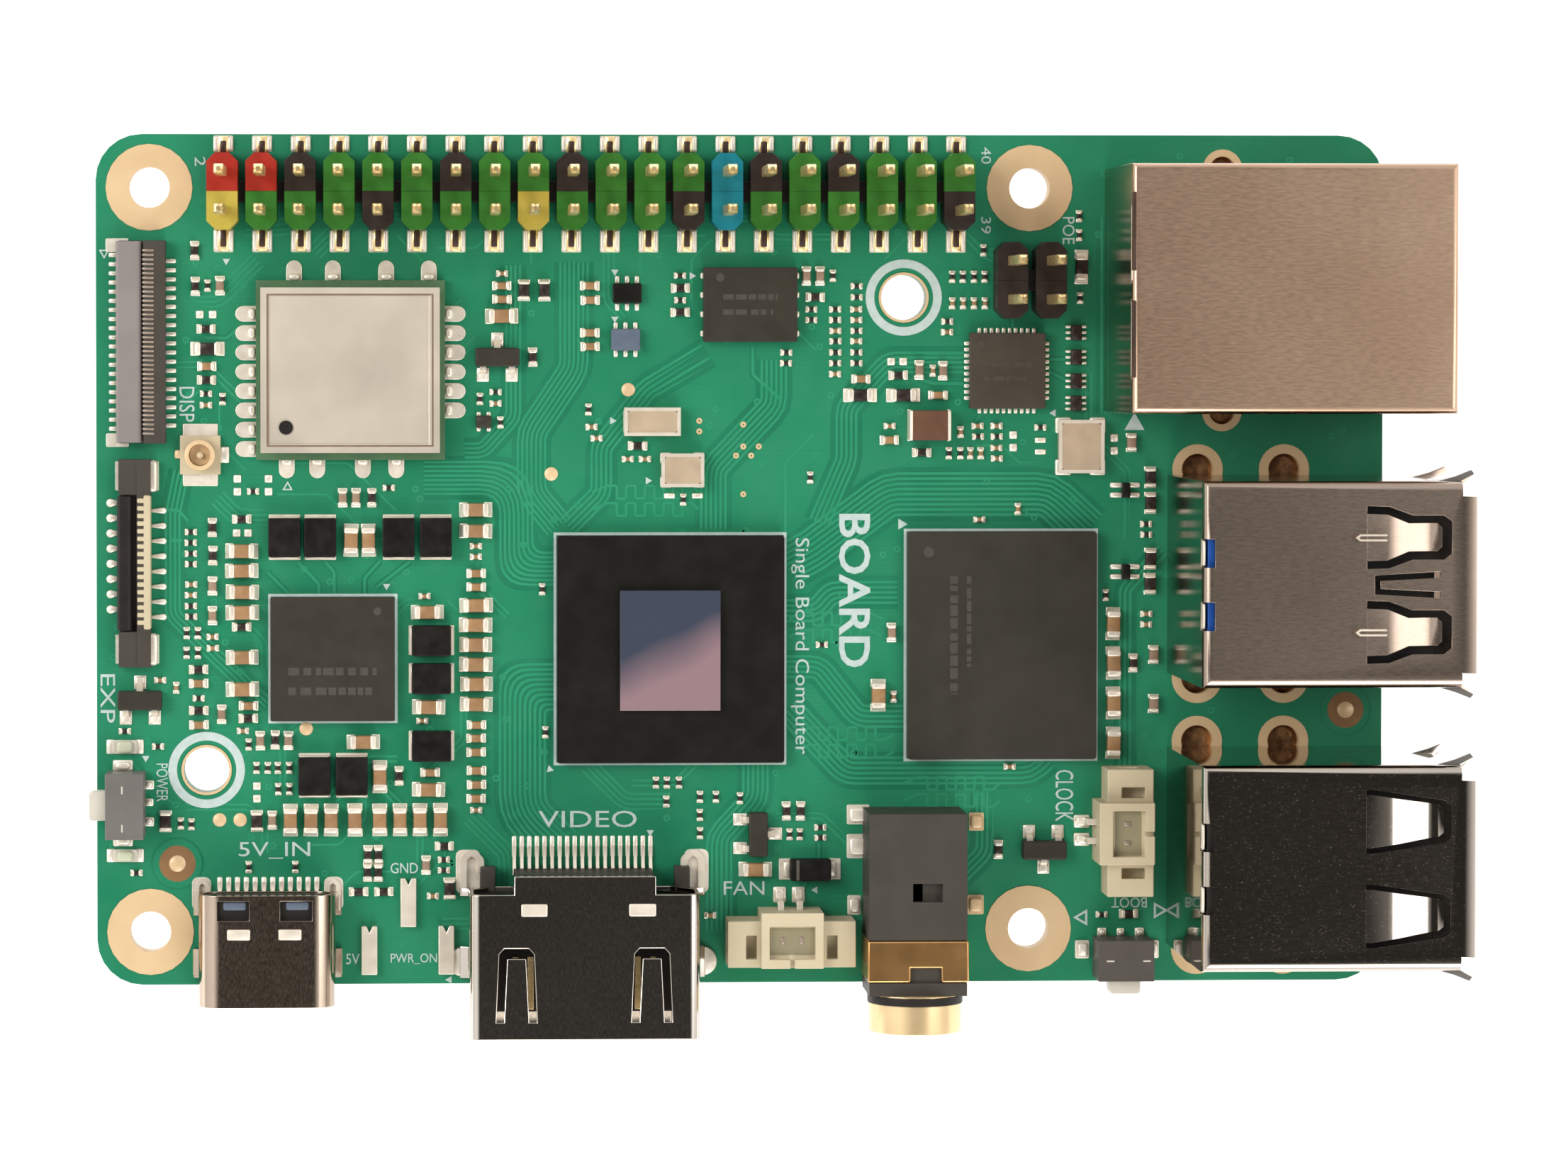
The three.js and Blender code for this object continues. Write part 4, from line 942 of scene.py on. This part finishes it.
def make_small_parts():
    bodies = [CERAMIC, TIN, RESISTOR, CERAMIC_GREY, SOLDER, CERAMIC_BROWN]
    slots = {0: "ceramic", 2: "dark", 3: "grey", 5: "brown"}
    kits = {}
    for turn, table in ((0, FLAT_PARTS), (90, UPRIGHT_PARTS)):
        for kind, lines in table.items():
            kit = kits.setdefault(kind, Kit())
            for shared, *others in lines:
                for other in others:
                    x, y = (other, shared) if turn else (shared, other)
                    two_ended(kit, kind, x, y, turn)
    for kind, kit in kits.items():
        kit.build(f"{slots[KINDS[kind][5]]}_parts_{kind}", bodies, "tin")


INDUCTORS = [(12.35, 29.5, 2.1, 2.75, 90), (14.7, 29.5, 2.1, 2.75, 90), (19.85, 29.5, 2.1, 2.75, 90),
             (22.3, 29.5, 2.1, 2.75, 90), (14.3, 13.8, 2.1, 2.7, 90), (16.75, 13.8, 2.1, 2.7, 90),
             (22.0, 22.7, 2.0, 2.75, 0), (22.0, 20.2, 2.0, 2.75, 0), (22.0, 15.75, 2.0, 2.75, 0)]


def make_inductors():
    """Moulded power inductors: a ferrite block between two folded terminals."""
    kit = Kit()
    for x, y, width, length, turn in INDUCTORS:
        kit.at(x, y, 0, turn)
        half, side, height = length / 2, width / 2, 1.15
        kit.block(-half + 0.1, half - 0.1, -side, side, 0.05, height, 0, 0.09)
        for way in (-1, 1):
            kit.block(way * half, way * (half - 0.12), -side + 0.1, side - 0.1, 0.02, height - 0.3, 1, 0.04)
            kit.block(way * (half - 0.6), way * (half + 0.12), -side + 0.02, side - 0.02,
                      SUNK, 0.05, 2, 0.02)
    kit.build("inductors", [FERRITE, TIN, SOLDER], "black_plastic")


# Three-legged parts: place, turn, and how many legs stand on the side that faces +Y before turning.
TRIPODS = [(26.35, 41.35, 0, 1), (2.85, 18.8, 0, 1), (62.5, 8.75, 0, 2), (43.55, 9.85, 90, 2)]


def make_tripods():
    kit = Kit()
    for x, y, turn, upper in TRIPODS:
        kit.at(x, y, 0, turn)
        kit.lump(0, 0, 1.45, 0.62, 0.1, 1.0, 0, 0.12)
        for way, count in ((1, upper), (-1, 3 - upper)):
            for place in ((0.0,) if count == 1 else (-0.95, 0.95)):
                kit.at(x, y, 0, turn)
                kit.place = kit.place @ Matrix.Translation((place, 0, 0)) @ Matrix.Rotation(
                    math.radians(90 * way), 4, "Z")
                kit.strip([(0.5, 0.55), (0.78, 0.55), (0.95, 0.12), (1.4, 0.12)], -0.21, 0.21, 0.14, 1)
                kit.block(0.7, 1.62, -0.4, 0.4, SUNK, 0.07, 2, 0.03)
                kit.block(1.0, 1.55, -0.32, 0.32, 0.0, 0.2, 2, 0.09)
    kit.at(25.45, 37.1).lump(0, 0, 0.5, 0.4, 0.05, 0.5, 0, 0.06)
    for px in (-0.33, 0.33):
        for py in (-0.5, 0.5):
            kit.lump(px, py, 0.14, 0.14, SUNK, 0.12, 2)
    kit.build("small_transistors", [EPOXY_BROWN, TIN, SOLDER], "epoxy")


def make_lamps_and_arrays():
    """Two indicator lamps, four surge arrays, a clamp diode, two chokes and two small chips."""
    kit = Kit()
    for x, y, width in ((1.85, 15.72, 0.9), (1.85, 8.55, 0.82)):
        kit.at(x, y)
        kit.block(-0.8, 0.8, -width / 2, width / 2, 0.02, 0.3, 3, 0.05)
        kit.block(-0.5, 0.5, -width / 2 + 0.06, width / 2 - 0.06, 0.25, 0.62, 4, 0.16)
        for way in (-1, 1):
            kit.block(way * 0.72, way * 1.22, -width / 2 - 0.03, width / 2 + 0.03, SUNK, 0.12, 2, 0.05)
    for y in (42.97, 41.34, 39.77, 38.3):
        kit.at(64.6, y).lump(0, 0, 0.36, 0.5, 0.05, 0.42, 8, 0.05)
        for px in (-0.5, 0.5):
            for py in (-0.38, 0.0, 0.38):
                kit.lump(px, py, 0.2, 0.09, SUNK, 0.16, 2)
    kit.at(47.0, 7.5).lump(0, 0, 1.35, 0.72, 0.05, 1.0, 5, 0.12)
    kit.block(-0.95, -0.75, -0.66, 0.66, 0.98, 1.004, 6, 0.0)
    for way in (-1, 1):
        kit.block(way * 1.3, way * 1.75, -0.5, 0.5, 0.02, 0.3, 1, 0.06)
        kit.block(way * 1.1, way * 2.05, -0.7, 0.7, SUNK, 0.07, 2, 0.03)
    for y in (32.55, 27.15):
        kit.at(67.9, y).lump(0, 0, 0.28, 0.5, 0.05, 0.55, 0, 0.07)
        for px in (-0.6, 0.55):
            for py in (-0.33, 0.33):
                kit.lump(px, py, 0.42, 0.17, SUNK, 0.14, 2, 0.06)
    kit.at(34.9, 45.55).lump(0, 0, 0.95, 0.65, 0.05, 0.6, 0, 0.06)
    kit.at(34.8, 42.5).lump(0, 0, 0.95, 0.72, 0.05, 0.6, 7, 0.06)
    for x, y in ((34.9, 45.55), (34.8, 42.5)):
        for px in (-0.65, 0.0, 0.65):
            for py in (-0.9, 0.9):
                kit.at(x + px, y + py).lump(0, 0, 0.14, 0.24, SUNK, 0.1, 2)
    kit.build("lamps_and_arrays",
              [EPOXY, TIN, SOLDER, WHITE, LENS, FERRITE, MARK, SLATE, RESISTOR], "epoxy")


BARE_PADS = [(6.8, 44.15), (7.65, 44.15), (9.25, 33.35), (11.3, 33.35), (9.25, 32.5), (11.3, 32.5),
             (9.2, 29.78), (9.95, 29.78), (52.35, 41.05), (53.15, 41.05), (60.45, 36.2), (60.45, 35.37),
             (67.15, 36.0), (67.15, 35.15), (10.5, 13.1), (10.5, 12.27)]
BAR_PADS = [(37.7, 32.2), (39.55, 32.2), (62.25, 35.85), (62.25, 35.08)]


def make_open_pads():
    kit = Kit()
    for x, y in BARE_PADS:
        kit.plate(x, y, 0.5, 0.5, 0.08, 0, 0.04, 0.06)
    for x, y in BAR_PADS:
        kit.plate(x, y, 0.72, 0.34, 0.08, 0, 0.04, 0.06)
    kit.build("open_pads", [SOLDER], "tin")


# ---------------------------------------------------------------- chips and the wireless module

def lead_row(kit, count, pitch, x, y, turn, length, width, high, slot=0, edge=0.03):
    """Row of flat leads that point along local +X, spaced along local Y."""
    kit.at(x, y, 0, turn)
    for i in range(count):
        offset = (i - (count - 1) / 2) * pitch
        kit.block(0, length, offset - width / 2, offset + width / 2, SUNK, high, slot, edge)
    kit.at()


def marking(kit, x0, x1, y, height, slot=0):
    """Row of short dashes, in place of a chip's printed lines."""
    x = x0
    while x < x1:
        width = random.choice((0.35, 0.5, 0.7))
        kit.block(x, min(x1, x + width), y - height / 2, y + height / 2, -0.01, 0.004, slot, 0)
        x += width + random.choice((0.14, 0.14, 0.3))


def make_chip_details():
    leads = Kit()
    for turn in (0, 90, 180, 270):
        angle = math.radians(turn)
        lead_row(leads, 10, 0.4, 60.0 + 2.4 * math.cos(angle), 40.45 + 2.4 * math.sin(angle), turn,
                 0.42, 0.24, 0.12)
    for turn, x in ((0, 46.0), (180, 40.0)):
        lead_row(leads, 4, 1.27, x, 44.81, turn, 0.26, 0.4, 0.2, 0, 0.05)
    leads.build("chip_leads", [SOLDER], "tin")
    dots = Kit()
    for node, x, y, radius in (("memory_package", 54.77, 28.5, 0.35), ("power_chip", 18.45, 24.65, 0.26),
                               ("network_chip", 58.2, 42.2, 0.2), ("flash_chip", 41.0, 46.6, 0.28)):
        top = extent(node)[1].z
        dots.loft([level(disc(x, y, radius), z) for z in (top - 0.02, top + 0.004)])
    for node, turn, rows in (
            ("memory_package", -90, ((-4.6, 3.2, -3.2, 0.5), (-4.6, 1.4, -2.2, 0.3))),
            ("power_chip", 0, ((-2.9, 2.9, -0.8, 0.5), (-2.9, 2.6, -2.1, 0.5))),
            ("network_chip", 0, ((-1.6, 1.6, 0.4, 0.3), (-1.6, 1.2, -0.5, 0.3))),
            ("flash_chip", 0, ((-1.8, 1.8, 0.5, 0.35), (-1.8, 1.5, -0.5, 0.35)))):
        low, high = extent(node)
        for x0, x1, y, height in rows:
            dots.at((low.x + high.x) / 2, (low.y + high.y) / 2, high.z, turn)
            marking(dots, x0, x1, y, height)
    dots.at()
    faint = finish("chip_mark", (80, 74, 66), (74, 69, 61), 0.5, (0.6, 0.7), 0.002, 0.06)
    dots.build("chip_marks", [faint], "epoxy")


def make_wireless_details():
    """Castellated pads round the module's edge, and the pads below that they are soldered to."""
    kit = Kit()

    def castellation(x, y, turn, length):
        kit.at(x, y, 0, turn)
        outline = arc(0.0, 0, 0.52, 90, 270, 8) + [(length, -0.52), (length, 0.52)]
        kit.prism(outline, SUNK, 0.09, 0, 0.04)
        kit.block(0.35, length - 0.2, -0.36, 0.36, 0.0, 0.5, 0, 0.16)
        kit.at()

    for i in range(8):
        castellation(9.65, 44.2 - 1.27 * i, 0, 1.0)
    for i in range(6):
        castellation(23.75, 44.2 - 1.27 * i, 180, 1.0)
    for x in (13.0, 15.55, 19.05, 21.85):
        castellation(x, 47.2, 270, 1.0)
    for x in (12.5, 14.5, 17.5, 19.7):
        castellation(x, 33.9, 90, 1.0)
    kit.build("wireless_pads", [SOLDER], "tin")
    spot = Kit()
    low, high = extent("wireless_shield")
    top = high.z
    rim = [inset(low, high, distance) for distance in (-0.01, 0.16, 0.4, 0.5)]
    spot.loop(rim[0], rim[1], top - 0.5, top + 0.01, 1)
    spot.loop(rim[2], rim[3], top - 0.05, top + 0.008, 2)
    spot.loft([level(disc(12.5, 36.75, 0.46), z) for z in (top - 0.12, top + 0.006)])
    spot.build("wireless_lid_edges", [BLACK, CAN, SHIELD_TAN], "tin")


def make_crystal_pads():
    kit = Kit()
    for node, reach, size in (
            ("crystal_1", 0.04, 0.6), ("crystal_2", 0.06, 0.75), ("crystal_3", 0.16, 1.05)):
        low, high = extent(node)
        x, y = (low.x + high.x) / 2, (low.y + high.y) / 2
        half_x, half_y = (high.x - low.x) / 2, (high.y - low.y) / 2
        corners = [(-1, 0), (1, 0)] if node == "crystal_1" else [(a, b) for a in (-1, 1) for b in (-1, 1)]
        for a, b in corners:
            size_y = size if b else half_y * 1.7
            cx, cy = x + a * (half_x + reach - size / 2), y + b * (half_y + reach - size / 2)
            kit.plate(cx, cy, size, size_y, 0.12, 0, 0.06, 0.12)
            kit.lump(cx, cy, size / 2 - 0.1, size_y / 2 - 0.1, 0.05, 0.32, 0, 0.12)
        kit.loop(inset(low, high, -0.01), inset(low, high, 0.22), high.z - 0.3, high.z + 0.02, 1)
    kit.build("crystal_pads", [SOLDER, TIN], "tin")


# ---------------------------------------------------------------- ports on the long side

def make_video_details():
    kit = Kit()
    for i in range(19):
        x = 27.45 + 0.5 * i
        kit.block(x - 0.15, x + 0.15, 8.35, 9.75, SUNK, 0.08, 0)
        kit.at(x, 0, 0, 90).strip([(7.2, 0.55), (7.6, 0.5), (7.9, 0.16), (9.1, 0.14)], -0.11, 0.11, 0.12, 1)
        kit.at()
    for x in (25.7, 38.5):
        kit.block(x - 0.5, x + 0.5, 5.8, 7.8, 0.02, 1.3, 2, 0.08)
    for x, way in ((24.1, 1), (39.8, -1)):
        hook = [(x, 5.9), (x, 8.3), (x + way * 0.55, 8.75), (x + way * 1.15, 8.2), (x + way * 1.15, 7.4)]
        kit.track(rounded(hook, 0.35), 0.42, SUNK, 0.35, 1)
        kit.plate(x + way * 0.3, 7.4, 1.6, 2.9, 0.06, 0, 0.03, 0.4)
        kit.prism(arc(x - way * 0.1, 1.45, 0.95, 90, 270, 10) if way > 0
                  else arc(x - way * 0.1, 1.45, 0.95, -90, 90, 10), SUNK, 0.28, 0, 0.1)
    low = extent("video_insert")[0]
    for i in range(10):
        x = 31.95 + (i - 4.5) * 1.0
        kit.block(x - 0.2, x + 0.2, low.y + 0.15, low.y + 3.6, 4.08, 4.16, 3, 0.03)
        kit.block(x + 0.3, x + 0.7, low.y + 0.15, low.y + 3.6, 2.84, 2.92, 3, 0.03)
    top = extent("video_shell")[1].z
    for x0, x1 in ((27.8, 29.5), (34.8, 36.55)):
        kit.block(x0, x1, 5.1, 5.9, top - 0.05, top + 0.1, 1, 0.09)
    kit.build("video_contacts", [SOLDER, TIN, BODY_GREY, PALE_GOLD], "tin")


def make_power_port_details():
    kit = Kit()
    for i in range(12):
        x = 11.25 + (i - 5.5) * 0.58
        kit.block(x - 0.17, x + 0.17, 6.2, 7.1, SUNK, 0.09, 0)
        kit.at(x, 0, 0, 90).strip([(5.4, 0.45), (5.9, 0.4), (6.15, 0.14), (6.8, 0.14)],
                                  -0.12, 0.12, 0.12, 1)
        kit.at()
    for x, way in ((6.55, 1), (15.85, -1)):
        loop = [(x, 4.9), (x, 6.6), (x + way * 0.35, 6.95), (x + way * 0.7, 6.6), (x + way * 0.7, 5.2)]
        kit.track(rounded(loop, 0.3), 0.3, SUNK, 0.4, 1)
        kit.plate(x + way * 0.3, 6.0, 1.25, 2.2, 0.06, 0, 0.03, 0.4)
        kit.block(x - 0.25, x + 0.25, 0.6, 2.4, SUNK, 0.3, 2, 0.08)
    low = extent("power_port_insert")[0]
    for i in range(10):
        x = 11.2 + (i - 4.5) * 0.56
        for z in (1.35, 2.11):
            kit.block(x - 0.14, x + 0.14, low.y + 0.1, low.y + 3.2, z, z + 0.08, 3, 0.03)
    top = extent("power_port_shell")[1].z
    for x in (9.4, 12.75):
        kit.block(x - 0.75, x + 0.75, 3.3, 4.0, top - 0.05, top + 0.1, 1, 0.09)
    for x in (9.05, 13.15):
        kit.at(x, 5.3).block(-0.7, 0.85, -0.1, 0.5, top - 0.7, top - 0.3, 4, 0.12)
        kit.at()
    kit.build("power_port_contacts", [SOLDER, TIN, GOLD, PALE_GOLD, SLATE], "tin")


def make_audio_details():
    kit = Kit()
    for x, y, size_x, size_y, slot in ((50.2, 11.1, 1.5, 1.3, 0), (50.2, 9.0, 1.5, 1.6, 0),
                                       (58.05, 10.6, 1.0, 1.2, 1), (58.0, 5.1, 1.1, 1.3, 1),
                                       (57.0, 9.5, 0.5, 0.6, 1), (49.95, 5.1, 0.9, 1.3, 0)):
        kit.joint(x, y, size_x, size_y, 0.07, 0.4, 0.45, slot, 0.16)
    low, high = extent("audio_barrel")
    middle = (low.x + high.x) / 2
    radius, axis = (high.x - low.x) / 2, (low.z + high.z) / 2
    collar = [(1.025, 0.0), (1.03, 0.12), (1.03, 0.5), (0.96, 0.56)]
    kit.loft([[(x, high.y - 0.62 + depth, z) for x, z in disc(middle, axis, radius * share, 32)]
              for share, depth in collar], 2)
    kit.build("audio_details", [SOLDER, GOLD, BLACK], "tin")


# ---------------------------------------------------------------- ports on the short side

UPPER_TONGUE, LOWER_TONGUE = 13.0, 4.0  # undersides, where the contacts are
# Heights of the black sheets painted as shade below a roof's slots.
CAVITY_TOP, SHADE_TOP = 14.8, 14.87  # dark sheet below the slots in a roof
ROOF_FINGERS = (-3.0, 3.0)


def make_usb_details():
    """Contact blades under each tongue, black sheets below the roof slots as painted shade, and caps on the
    mouth's lips.
    """
    kit = Kit()
    for node, centre in USB_CENTRES.items():
        for floor, under in (("upper", UPPER_TONGUE), ("lower", LOWER_TONGUE)):
            front = extent(f"{node}_{floor}_insert")[1].x
            for offset in (-3.5, -1.0, 1.0, 3.5):
                y = centre + offset
                kit.block(front - 7.5, front - 0.25, y - 0.5, y + 0.5, under - 0.12, under + 0.02)
            for offset in (-3.4, -1.7, 0.0, 1.7, 3.4) if node == "usb_a" else ():
                y = centre + offset
                kit.block(front - 2.2, front - 0.15, y - 0.26, y + 0.26, under - 0.2, under + 0.02)
        mouth = extent(f"{node}_shell")[1]
        front = extent(f"{node}_upper_insert")[1].x
        if node == "usb_a":
            # Painted shade: a black sheet over the upper tongue, seen through the roof slots.
            kit.block(front - 7.5, front - 0.03, centre - 5.4, centre + 5.4, CAVITY_TOP, SHADE_TOP, 2, 0)
            for offset in ROOF_FINGERS:
                y = centre + offset
                hook = [(USB_BACK + 11.6, y - 0.16), (USB_BACK + 9.9, y - 0.16), (USB_BACK + 9.7, y),
                        (USB_BACK + 9.9, y + 0.16), (USB_BACK + 11.6, y + 0.16)]
                kit.track(hook, 0.12, mouth.z - 0.02, mouth.z + 0.03, 1)
        for offset in ROOF_FINGERS:
            y = centre + offset
            # Painted shade: black sheets in front of the tongue, under the roof fingers.
            kit.block(front - 0.02, front + 1.2, y - 1.9, y + 1.9, CAVITY_TOP - 0.05, SHADE_TOP, 2, 0)
        for side in (-1, 1):
            edge = centre + side * (mouth.y - centre)
            lip = [(mouth.x - 2.3, edge - side * 0.72), (mouth.x - 0.9, edge - side * 0.72),
                   (mouth.x, edge - side * 0.25), (mouth.x - 0.2, edge), (mouth.x - 1.2, edge - side * 0.4)]
            kit.prism(lip[::side], SHADE_TOP, SHADE_TOP + 0.06, 3)
        for y in (centre - 2.0, centre + 2.0):
            kit.block(USB_BACK + 0.05, USB_BACK + 0.22, y - 0.8, y + 0.8, 13.6, mouth.z - 0.9, 1)
    kit.build("usb_contacts", [PALE_GOLD, TIN, BLACK, CAP_GREY], "gold")


def make_network_details():
    """Small folds at the jack's rear edge, with dark strips along it painted as shade."""
    kit = Kit()
    low, high = extent("network_shield")
    top = high.z
    for y in (42.55, 48.65):
        kit.block(low.x + 0.02, low.x + 0.3, y - 2.4, y + 2.4, top - 0.74, top - 0.55, 0, 0.05)
    for y0, y1 in ((46.9, 51.9), (40.1, 45.0)):
        # Painted shade: dark strips along the rear edge.
        kit.block(low.x - 0.02, low.x + 0.2, y0, y1, top - 0.3, top + 0.01, 1, 0.02)
    kit.build("network_folds", [TIN, FOOT_SHADE], "tin")


# ---------------------------------------------------------------- flat cable sockets and buttons

def make_display_details():
    kit = Kit()
    kit.column(20, 0.6, 0.85, 1.4, 48.05, 0.14, SUNK, 0.12)
    kit.column(19, 0.6, 4.55, 5.25, 47.66, 0.14, SUNK, 0.12)
    kit.column(41, 0.3, 3.1, 3.85, 48.35, 0.07, 1.02, 1.14, 1, 0.02)
    for y in (48.7, 35.9):
        kit.plate(1.4, y, 1.5, 0.9, 0.1, 0, 0.04, 0.1)
    kit.build("display_socket_leads", [SOLDER, COMB], "tin")


def make_expansion_details():
    kit = Kit()
    for i in range(8):
        y = 31.77 - 1.0 * i
        kit.at(0.95, y).prism(arc(-0.02, 0, 0.28, 90, 270, 8) + [(0.45, -0.14), (0.45, 0.14)],
                              SUNK, 0.12, 0, 0.05)
        y = 31.26 - 1.0 * i
        kit.at(4.35, y).prism(arc(0.05, 0, 0.2, -90, 90, 8) + [(-0.75, 0.1), (-0.75, -0.1)],
                              SUNK, 0.12, 0, 0.04)
    kit.at()
    kit.column(17, 0.5, 2.72, 3.45, 31.95, 0.16, 0.9, 1.14, 1, 0.05)
    kit.block(3.15, 3.62, 23.5, 32.3, 0.2, 1.16, 1, 0.06)
    for y0, y1 in ((32.5, 34.6), (21.1, 23.2)):
        kit.block(3.25, 4.05, y0, y1, SUNK, 0.75, 2, 0.2)
        kit.block(1.25, 4.1, y0 + 0.1, y1 - 0.1, SUNK, 0.06, 0, 0.02)
    kit.build("expansion_socket_leads", [SOLDER, CREAM, TIN], "tin")


def make_button_details():
    kit = Kit()
    for x, y, size_x, size_y in ((3.45, 13.2, 0.6, 0.6), (3.45, 12.05, 0.5, 0.5), (3.45, 10.77, 0.6, 0.6),
                                 (1.7, 14.5, 1.3, 0.7), (1.7, 9.5, 1.3, 0.7), (65.1, 2.1, 0.95, 1.2),
                                 (69.9, 2.1, 0.6, 1.2), (66.4, 3.25, 0.6, 0.55), (67.65, 3.25, 0.5, 0.5),
                                 (68.9, 3.25, 0.6, 0.55)):
        kit.joint(x, y, size_x, size_y, 0.09, 0.36, 0.4, 0, 0.14)
    top = extent("power_button_body")[1].z
    for y in (13.1, 10.6):
        kit.block(1.75, 1.85, y - 0.25, y + 0.25, top - 0.02, top + 0.01, 1, 0)
    for x in (66.6, 69.0):
        kit.block(x - 0.25, x + 0.25, 1.6, 1.7, top - 0.02, top + 0.01, 1, 0)
    kit.build("button_pads", [SOLDER, WHITE], "tin")


def make_two_pin_details():
    kit = Kit()
    for x in (45.0, 46.25):
        kit.plate(x, 5.8, 0.85, 1.05, 0.08, 0, 0.04, 0.1)
        kit.block(x - 0.3, x + 0.3, 5.4, 6.2, 0.0, 0.3, 0, 0.1)
    for y in (10.6, 9.4):
        kit.plate(65.05, y, 1.05, 0.85, 0.08, 0, 0.04, 0.1)
        kit.block(64.7, 65.45, y - 0.3, y + 0.3, 0.0, 0.3, 0, 0.1)
    for node, turn in (("fan_socket_housing", 0), ("clock_socket_housing", 90)):
        low, high = extent(node)
        kit.at((low.x + high.x) / 2, (low.y + high.y) / 2, 0, turn)
        # Painted shade: the recess floor in the darker cream.
        kit.block(-1.45, 1.45, -0.95, 0.75, high.z - 0.56, high.z - 0.46, 1, 0)
        for px in (-0.62, 0.62):
            kit.block(px - 0.15, px + 0.15, -0.3, 0.2, high.z - 0.48, high.z - 0.4, 2, 0.06)
        kit.at()
    kit.build("two_pin_pads", [SOLDER, SHADED_CREAM, COMB], "tin")


def make_antenna_details():
    kit = Kit()
    for y in (36.55, 33.3):
        kit.plate(6.83, y, 2.3, 0.85, 0.1, 0, 0.05, 0.08)
    kit.prism(disc(6.83, 34.93, 0.7), 0.3, 0.62, 1, 0.03)
    kit.dome(6.83, 34.93, 0.2, 0.6, 1.02, 1)
    kit.block(5.15, 5.65, 34.7, 35.25, SUNK, 0.3, 1, 0.06)
    kit.block(8.1, 8.72, 34.4, 35.45, SUNK, 0.16, 0, 0.05)
    kit.build("antenna_pads", [SOLDER, GOLD], "tin")


# ---------------------------------------------------------------- stage

FLOOR_REACH = 1.5  # metres
EYE_FOOT, EYE_HEIGHT, FRAME_CENTRE = (21.5, 42.7), 340.0, (45.28, 26.1)


def make_floor():
    mesh = bpy.data.meshes.new("floor")
    mesh.from_pydata(level(rect(-FLOOR_REACH, FLOOR_REACH, -FLOOR_REACH, FLOOR_REACH), 0), [],
                     [(0, 1, 2, 3)])
    mesh.materials.append(finish(
        "pale_floor", (250, 250, 250), (248, 248, 248), 60, (0.8, 0.9), 0.0, 1.0,
        Emission_Color=(1, 1, 1, 1), Emission_Strength=1.0))
    floor = bpy.data.objects.new("floor", mesh)
    bpy.context.scene.collection.objects.link(floor)


def make_camera():
    """Looks almost straight down. Half of the framing is tilt and half is shift."""
    data = bpy.data.cameras.new("camera")
    data.sensor_width, data.lens = 36.0, 118.5
    data.clip_start, data.clip_end = 0.01, 10.0
    eye, centre = at_board(*EYE_FOOT, EYE_HEIGHT), at_board(*FRAME_CENTRE)
    aim = at_board(*EYE_FOOT).lerp(centre, 0.5)
    back = (eye - aim).normalized()
    right = Vector((0, 1, 0)).cross(back).normalized()
    up = back.cross(right)
    camera = bpy.data.objects.new("camera", data)
    camera.matrix_world = Matrix.Translation(eye) @ Matrix((right, up, back)).transposed().to_4x4()
    ray = centre - eye
    depth = -ray.dot(back)
    data.shift_x = ray.dot(right) / depth * data.lens / data.sensor_width
    data.shift_y = ray.dot(up) / depth * data.lens / data.sensor_width
    bpy.context.scene.collection.objects.link(camera)
    bpy.context.scene.camera = camera


def make_tent():
    """Light tent: bright all round and dark straight above, where the camera's opening is."""
    world = bpy.data.worlds.new("light_tent")
    bpy.context.scene.world = world
    world.use_nodes = True
    tree = world.node_tree
    coordinate, split, ramp = (tree.nodes.new(kind) for kind in (
        "ShaderNodeTexCoord", "ShaderNodeSeparateXYZ", "ShaderNodeValToRGB"))
    tree.links.new(coordinate.outputs["Generated"], split.inputs[0])
    tree.links.new(split.outputs["Z"], ramp.inputs[0])
    tree.links.new(ramp.outputs["Color"], tree.nodes["Background"].inputs["Color"])
    stops = ramp.color_ramp.elements
    stops[0].position, stops[0].color = 0.0, (0.98, 0.97, 0.96, 1)
    stops[1].position, stops[1].color = 0.975, (0.03, 0.028, 0.026, 1)
    for position, value in ((0.55, 1.0), (0.82, 0.95), (0.93, 0.35)):
        stop = stops.new(position)
        stop.color = (value, value * 0.985, value * 0.965, 1)
    tree.nodes["Background"].inputs["Strength"].default_value = 1.0


def make_light(name, x, y, z, size, power, colour):
    data = bpy.data.lights.new(name, "AREA")
    data.shape, data.size, data.energy, data.color = "SQUARE", size * MM, power, colour
    lamp = bpy.data.objects.new(name, data)
    lamp.location = at_board(x, y, z)
    aim = at_board(40, 28) - lamp.location
    lamp.rotation_mode = "QUATERNION"
    lamp.rotation_quaternion = aim.to_track_quat("-Z", "Y")
    bpy.context.scene.collection.objects.link(lamp)


def make_stage():
    make_floor()
    make_camera()
    make_tent()
    make_light("key", -190, 110, 210, 170, 0.68, (1.0, 0.98, 0.95))
    make_light("fill", 90, -230, 200, 190, 0.62, (1.0, 0.97, 0.94))
    make_light("side", 270, 60, 230, 190, 0.3, (1.0, 0.97, 0.94))
    bpy.context.scene.view_settings.view_transform = "Standard"


# ---------------------------------------------------------------- assembly

for make in (
        dress_cad_nodes, make_copper, make_gold_marks, make_leg_holes, make_print, make_headers,
        make_small_parts, make_inductors, make_tripods, make_lamps_and_arrays, make_open_pads,
        make_chip_details, make_wireless_details, make_crystal_pads, make_video_details,
        make_power_port_details, make_audio_details, make_usb_details, make_network_details,
        make_display_details, make_expansion_details, make_button_details, make_two_pin_details,
        make_antenna_details, make_stage):
    make()
